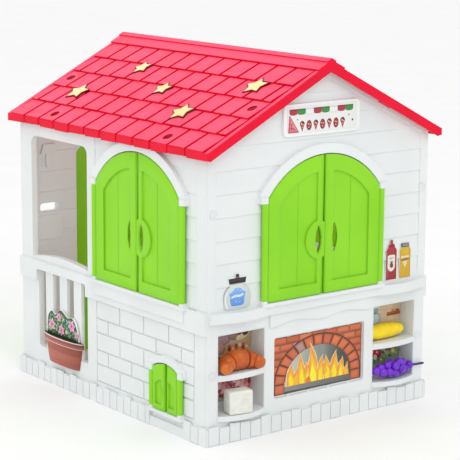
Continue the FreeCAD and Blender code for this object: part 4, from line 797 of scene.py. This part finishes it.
def planter_pot():
    """Half-oval pot under a rolled rim, printed terracotta with pale edges, painted lighter towards its back
    end and darker towards the house's front as painted light and shade.
    """
    low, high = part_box("planter_pot")
    middle = (low.y + high.y) / 2
    depth = high.x - low.x
    back = high.x
    half = (high.y - low.y) / 2
    tall = high.z - low.z
    shape = bmesh.new()
    ink = shape.loops.layers.float_color.new("ink")
    rows = [(0.0, 0.745, 0.60, "EFE3DA"), (0.022, 0.752, 0.615, "EFE3DA"), (0.026, 0.752, 0.615, "A24A38"),
            (0.25, 0.80, 0.68, "AE5541"), (0.50, 0.85, 0.74, "B65F4A"), (0.74, 0.90, 0.80, "A34C3A"),
            (0.770, 0.91, 0.81, "7E3428"), (0.775, 0.965, 0.955, "F1DDCB"), (0.80, 0.985, 0.98, "F1DDCB"),
            (0.805, 0.985, 0.98, "9C4A3C"), (0.88, 0.99, 0.985, "B0604C"), (0.965, 0.985, 0.98, "9A4638"),
            (0.970, 0.99, 0.985, "F1E6DC"), (1.0, 0.985, 0.975, "F1E6DC"), (1.0, 0.95, 0.90, "5A3A2E"),
            (0.985, 0.90, 0.80, "33241C")]
    steps = 44
    grid = []
    for share, wide, deep, tone in rows:
        row = []
        for step in range(steps + 1):
            angle = math.pi * step / steps
            rib = 1.0
            if 0.02 < share < 0.75:
                rib = 0.99 if step % 2 == 0 else 1.0
            a = -half * wide * math.cos(angle)
            out = depth * deep * math.sin(angle) ** 0.82 * rib
            row.append(shape.verts.new((back - 0.0004 - out, middle - a, low.z + tall * share)))
        grid.append(row)

    def paint_with_side_shade(face, tone):
        for loop in face.loops:
            # painted light and shade: each face's print colour is lifted at the pot's back end and darkened
            # towards the house's front
            right = min(1.0, max(0.0, (middle - loop.vert.co.y) / half * 0.5 + 0.5))
            loop[ink] = shaded(tone, 1.12 - 0.45 * right ** 2.2)

    for index in range(len(rows) - 1):
        for step in range(steps):
            face = shape.faces.new((grid[index][step], grid[index][step + 1], grid[index + 1][step + 1],
                                    grid[index + 1][step]))
            paint_with_side_shade(face, rows[index + 1][3])
        face = shape.faces.new((grid[index][0], grid[index + 1][0], grid[index + 1][-1], grid[index][-1]))
        paint_with_side_shade(face, "8C4434")
    paint_with_side_shade(shape.faces.new(grid[0]), "8C4434")
    paint_with_side_shade(shape.faces.new(grid[-1]), "33241C")
    item = make_piece("planter_pot_shell", shape, PRINT, "house", ("planter_pot",),
                      soften=False)
    bevel = item.modifiers.new("bevel", "BEVEL")
    bevel.width = 0.0005
    bevel.limit_method = "ANGLE"
    bevel.angle_limit = math.radians(40)


# ---------------------------------------------------------------- roof stars
def star_faces(node, name):
    """Cream stars on the dark red CAD ones, whose rims stay in view round them as the stickers' dark outline,
    partly a painted shadow at their edges.
    """
    source = bmesh.new()
    source.from_mesh(NODES[node].data)
    bmesh.ops.remove_doubles(source, verts=source.verts, dist=0.00003)
    bmesh.ops.dissolve_limit(source, angle_limit=0.02, verts=source.verts, edges=source.edges)
    tops = sorted((f for f in source.faces if f.normal.z > UPWARD), key=lambda f: -f.calc_area())[:5]
    shape = bmesh.new()
    for top in tops:
        middle = top.calc_center_median()
        normal = top.normal.copy()
        corners = [v.co.copy() for v in top.verts]
        # the cream star is drawn smaller so the dark red rim round it shows: outline, partly painted edge
        # shadow
        levels = ((0.86, -0.0010), (0.86, 0.0004), (0.82, 0.0010))
        rows = [[shape.verts.new(middle + share * (c - middle) + lift * normal) for c in corners]
                for share, lift in levels]
        count = len(corners)
        for lower, upper in zip(rows, rows[1:]):
            for index in range(count):
                after = (index + 1) % count
                shape.faces.new((lower[index], lower[after], upper[after], upper[index]))
        shape.faces.new(rows[0])
        peak = shape.verts.new(middle + 0.0016 * normal)
        for index in range(count):
            shape.faces.new((rows[-1][index], rows[-1][(index + 1) % count], peak))
    source.free()
    make_piece(name, shape, STAR, "house", soften=False)


# ---------------------------------------------------------------- play food
def glossy(name, stops, scale, rough=0.3, grain=0.15):
    """Shiny moulded toy plastic with a soft colour drift."""
    material, tree, shader = new_material(name)
    colour = ramp(tree, clouds(tree, scale, 3.0, 0.55), [(place, srgb(tone)) for place, tone in stops])
    cover(tree, shader, colour, drift(tree, 90.0, 2.0, grey(rough - 0.04), grey(rough + 0.06)))
    bump(tree, shader, [(clouds(tree, 260.0), 0.2, grain)])
    return material


def croissant():
    """A crescent of rolled layers: a tall middle, then a crease and a claw on each side."""
    low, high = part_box("toy_croissant")
    middle = (low.x + high.x) / 2
    steps = 96
    creases = ((0.34, 0.30), (0.68, 0.17))

    def body(x):
        return (32.0 - 15.0 * abs(x) ** 1.5) * MM

    def radius(t):
        x = abs(2 * t - 1)
        cap = math.sqrt(max(0.0, 1 - max(0.0, (x - 0.86) / 0.14) ** 2))
        return max(0.0004, body(x) * cap)

    def section(t, angle):
        x = abs(2 * t - 1)
        flat = 1.0 if math.sin(angle) > -0.5 else 0.97
        lean = 0.05 * math.cos(angle)
        return flat - sum(deep * math.exp(-((x - place - lean) / 0.035) ** 2) for place, deep in creases)

    path = []
    for step in range(steps + 1):
        x = 2 * step / steps - 1
        path.append(Vector((middle + 68 * MM * math.sin(x * 1.4), high.y - 34 * MM - 47 * MM * abs(x) ** 2.4,
                            low.z + body(x) * 0.97)))
    shape = bmesh.new()
    loft(shape, tube_rings(path, radius, 40, section))
    material = glossy("baked_plastic", [(0.3, "B04A0C"), (0.5, "C65C14"), (0.72, "D87426")], 14.0, 0.2, 0.05)
    make_piece("croissant_skin", shape, material, "toy_croissant", ("toy_croissant",),
               subdivide=1)


def corn():
    """An ear with staggered rows of kernels."""
    low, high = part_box("toy_corn")
    length = high.x - low.x
    radius = (high.z - low.z) / 2
    middle = (low + high) / 2
    rows_round, rows_long = 16, 26
    around, along = rows_round * 6, rows_long * 5

    def size(t):
        if t < 0.45:
            body = 0.62 + 0.38 * math.sin(math.pi * (t * 1.25 + 0.05))
        else:
            body = 1.0 - 0.42 * ((t - 0.45) / 0.55) ** 2
        end = min(t / 0.07, (1 - t) / 0.13, 1.0)
        return max(0.0003, radius * 0.965 * body * math.sqrt(max(0.0, 1 - (1 - end) ** 2)))

    def kernels(t, angle):
        stagger = 0.5 * (int(angle / (2 * math.pi) * rows_round) % 2)
        across = abs(math.sin(angle * rows_round / 2)) ** 0.5
        row = abs(math.sin(math.pi * (t * rows_long + stagger))) ** 0.5
        return 0.975 + 0.028 * across * row

    path = [Vector((low.x + length * step / along, middle.y, middle.z)) for step in range(along + 1)]
    shape = bmesh.new()
    loft(shape, tube_rings(path, size, around, kernels))
    material = glossy("corn_plastic", [(0.3, "F2CB00"), (0.7, "FFE400")], 40.0, 0.3)
    make_piece("corn_ear", shape, material, "toy_corn", ("toy_corn",))


def grapes():
    """Rings of berries round a tapering bunch, and a bent stem."""
    low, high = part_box("toy_grapes")
    body_length = 166 * MM
    radius = (high.z - low.z) / 2
    middle_z = (high.z + low.z) / 2
    middle_y = high.y - radius
    berry = 14.6 * MM
    shape = bmesh.new()
    profile = [(0.0, 0.30), (0.06, 0.44), (0.26, 0.76), (0.5, 0.97), (0.7, 0.96), (0.92, 0.60), (1.0, 0.3)]

    def reach(t):
        for (t0, r0), (t1, r1) in zip(profile, profile[1:]):
            if t0 <= t <= t1:
                return radius * (r0 + (r1 - r0) * (t - t0) / (t1 - t0))
        return radius * 0.3

    rings = 7
    for ring in range(rings):
        t = (ring + 0.62) / rings
        room = max(0.0, reach(t) - berry)
        count = max(1, int(2 * math.pi * room / (berry * 1.6)))
        for index in range(count):
            angle = 2 * math.pi * index / count + ring * 0.83
            centre = Vector((low.x + body_length * t, middle_y + room * math.cos(angle),
                             middle_z + room * math.sin(angle)))
            size = berry * (1 + 0.07 * noise.noise(centre * 90))
            matrix = Matrix.Translation(centre) @ Matrix.Diagonal((size * 1.04, size, size, 1))
            bmesh.ops.create_icosphere(shape, subdivisions=3, radius=1.0, matrix=matrix)
    material = glossy("grape_plastic", [(0.3, "5C18B4"), (0.7, "7F2FD6")], 30.0, 0.24)
    make_piece("grape_bunch", shape, material, "toy_grapes", ("toy_grapes",))
    start = low.x + body_length - 8 * MM
    path = [Vector((start, middle_y, middle_z)), Vector((start + 5 * MM, middle_y - 6 * MM, middle_z)),
            Vector((start + 12 * MM, middle_y - 12 * MM, middle_z + 0.5 * MM)),
            Vector((start + 24 * MM, middle_y - 14 * MM, middle_z + 1 * MM)),
            Vector((high.x - 5 * MM, middle_y - 14 * MM, middle_z + 0.5 * MM)),
            Vector((high.x - 1 * MM, middle_y - 14 * MM, middle_z))]
    shape = bmesh.new()

    def thick(t):
        tip = 0.55 if t > 0.99 else 1.0
        return (4.9 - 1.2 * math.sin(math.pi * t)) * MM * tip

    loft(shape, tube_rings(path, thick, 20))
    dark = glossy("stem_plastic", [(0.3, "2A0A52"), (0.7, "3A1468")], 60.0, 0.3)
    make_piece("grape_stem", shape, dark, "toy_grapes", subdivide=2)


def cheese():
    """A block with soft edges and shallow round eyes."""
    low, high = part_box("toy_cheese")
    shape = bmesh.new()
    bmesh.ops.create_cube(shape, size=1.0)
    bmesh.ops.subdivide_edges(shape, edges=shape.edges[:], cuts=27, use_grid_fill=True)
    size = high - low
    middle = (low + high) / 2
    edge = 7 * MM
    skew = 0.17
    eyes = [(-0.30, -0.5, 0.20, 6.5), (0.05, -0.5, -0.10, 5.0), (0.26, -0.5, 0.26, 7.5),
            (-0.12, -0.5, 0.38, 4.0), (0.33, -0.5, -0.28, 5.5), (-0.34, -0.5, -0.30, 4.5),
            (-0.05, -0.5, -0.38, 6.0), (-0.2, 0.1, 0.5, 6.0), (0.2, -0.15, 0.5, 5.0),
            (-0.5, 0.05, 0.15, 6.0), (-0.5, -0.2, -0.25, 5.0), (0.5, 0.0, 0.1, 6.5)]
    body = Vector((size.x * 0.84, size.y * 0.80, size.z))
    for vert in shape.verts:
        spot = vert.co.copy()
        full = Vector((spot.x * body.x, spot.y * body.y, spot.z * body.z))
        core = Vector([max(-body[k] / 2 + edge, min(body[k] / 2 - edge, full[k])) for k in range(3)])
        away = full - core
        normal = away.normalized() if away.length > 1e-9 else Vector((0, 0, 1))
        point = core + normal * edge
        for ex, ey, ez, r in eyes:
            centre = Vector((ex * body.x, ey * body.y, ez * body.z))
            gap = (full - centre).length / (r * MM)
            if gap < 1:
                point -= normal * r * 0.42 * MM * (1 - gap ** 2) ** 0.6
        point.y += -skew * point.x
        point.x += skew * 0.9 * point.y
        vert.co = middle + point
    material = glossy("cheese_plastic", [(0.3, "DDDDD2"), (0.7, "EDEEE6")], 35.0, 0.42)
    make_piece("cheese_block", shape, material, "toy_cheese", ("toy_cheese",), subdivide=1)


MORTAR = moulded("mortar_print", "8A4A34", "6E3526", 0.4, 0.5, 0.1)
PALE = moulded("pale_print", "EDEEEC", "E2E4E1", 0.36, 0.44, 0.05)
TAN = moulded("tan_print", "C9B08C", "B59870", 0.38, 0.46, 0.05)
finish_cad("oven_print", MORTAR)
finish_cad("sign_print", PALE)
finish_cad("planter_flowers", PALE)
for name in NODES:
    if name.startswith("niche_print"):
        finish_cad(name, TAN)
    # The dark red CAD stars show as a rim round the cream stars: the stickers' outline, partly a painted
    # shadow at their edges.
    if name.startswith("star_stickers"):
        finish_cad(name, SCREW)
sign_art()
oven_art()
jar_art()
bottles()
bread_art()
meat_art()
jars_art()
vegetables_art()
planter_art()
planter_pot()
star_faces("star_stickers_left", "star_faces_left")
star_faces("star_stickers_right", "star_faces_right")
croissant()
corn()
grapes()
cheese()


# ---------------------------------------------------------------- floor, light and camera
def add_floor():
    mesh = bpy.data.meshes.new("floor")
    reach = 30.0
    mesh.from_pydata([(-reach, -reach, 0), (reach, -reach, 0), (reach, reach, 0), (-reach, reach, 0)], [],
                     [(0, 1, 2, 3)])
    floor = bpy.data.objects.new("floor", mesh)
    show(floor)
    material, tree, shader = new_material("floor_paper")
    tree.links.new(drift(tree, 3.0, 2.0, grey(0.93), grey(0.95)), shader.inputs["Base Color"])
    shader.inputs["Roughness"].default_value = 0.9
    mesh.materials.append(material)


def add_light(name, place, target, size, power):
    data = bpy.data.lights.new(name, "AREA")
    data.shape = "DISK"
    data.size = size
    data.energy = power
    lamp = bpy.data.objects.new(name, data)
    lamp.location = place
    lamp.rotation_euler = (Vector(target) - Vector(place)).to_track_quat("-Z", "Y").to_euler()
    show(lamp)


def add_camera():
    centre = Vector((-3.4695, -4.5282, 1.6579))
    ahead = Vector((0.60150, 0.77463, -0.19533)).normalized()
    level = ahead.cross(Vector((0, 0, 1))).normalized()
    above = level.cross(ahead)
    roll = 0.0069
    right = (level + roll * above).normalized()
    up = right.cross(ahead)
    data = bpy.data.cameras.new("camera")
    data.sensor_width = 36.0
    data.lens = 138.63
    data.clip_end = 200.0
    camera = bpy.data.objects.new("camera", data)
    camera.matrix_world = Matrix((
        (right.x, up.x, -ahead.x, centre.x),
        (right.y, up.y, -ahead.y, centre.y),
        (right.z, up.z, -ahead.z, centre.z),
        (0, 0, 0, 1),
    ))
    show(camera)
    bpy.context.scene.camera = camera


def add_world():
    """A white dome, brighter overhead than at the horizon."""
    world = bpy.data.worlds.new("studio")
    world.use_nodes = True
    tree = world.node_tree
    background = tree.nodes["Background"]
    where = add(tree, "ShaderNodeTexCoord")
    parts = add(tree, "ShaderNodeSeparateXYZ")
    tree.links.new(where.outputs["Generated"], parts.inputs["Vector"])
    tone = ramp(tree, parts.outputs["Z"], [(0.0, grey(0.62)), (0.9, grey(1.0))])
    tree.links.new(tone, background.inputs["Color"])
    background.inputs["Strength"].default_value = 1.12
    bpy.context.scene.world = world
    settings = bpy.context.scene.view_settings
    settings.view_transform = "Standard"
    settings.look = "None"


add_floor()
add_world()
add_light("key", (-1.6, -4.6, 4.4), (0, 0, 0.5), 2.2, 46)
add_light("side", (-4.6, 0.6, 3.4), (0, 0, 0.6), 2.6, 24)
add_light("room", (0.15, -0.30, 0.80), (0, 0.5, 0.5), 0.5, 2.2)
add_camera()
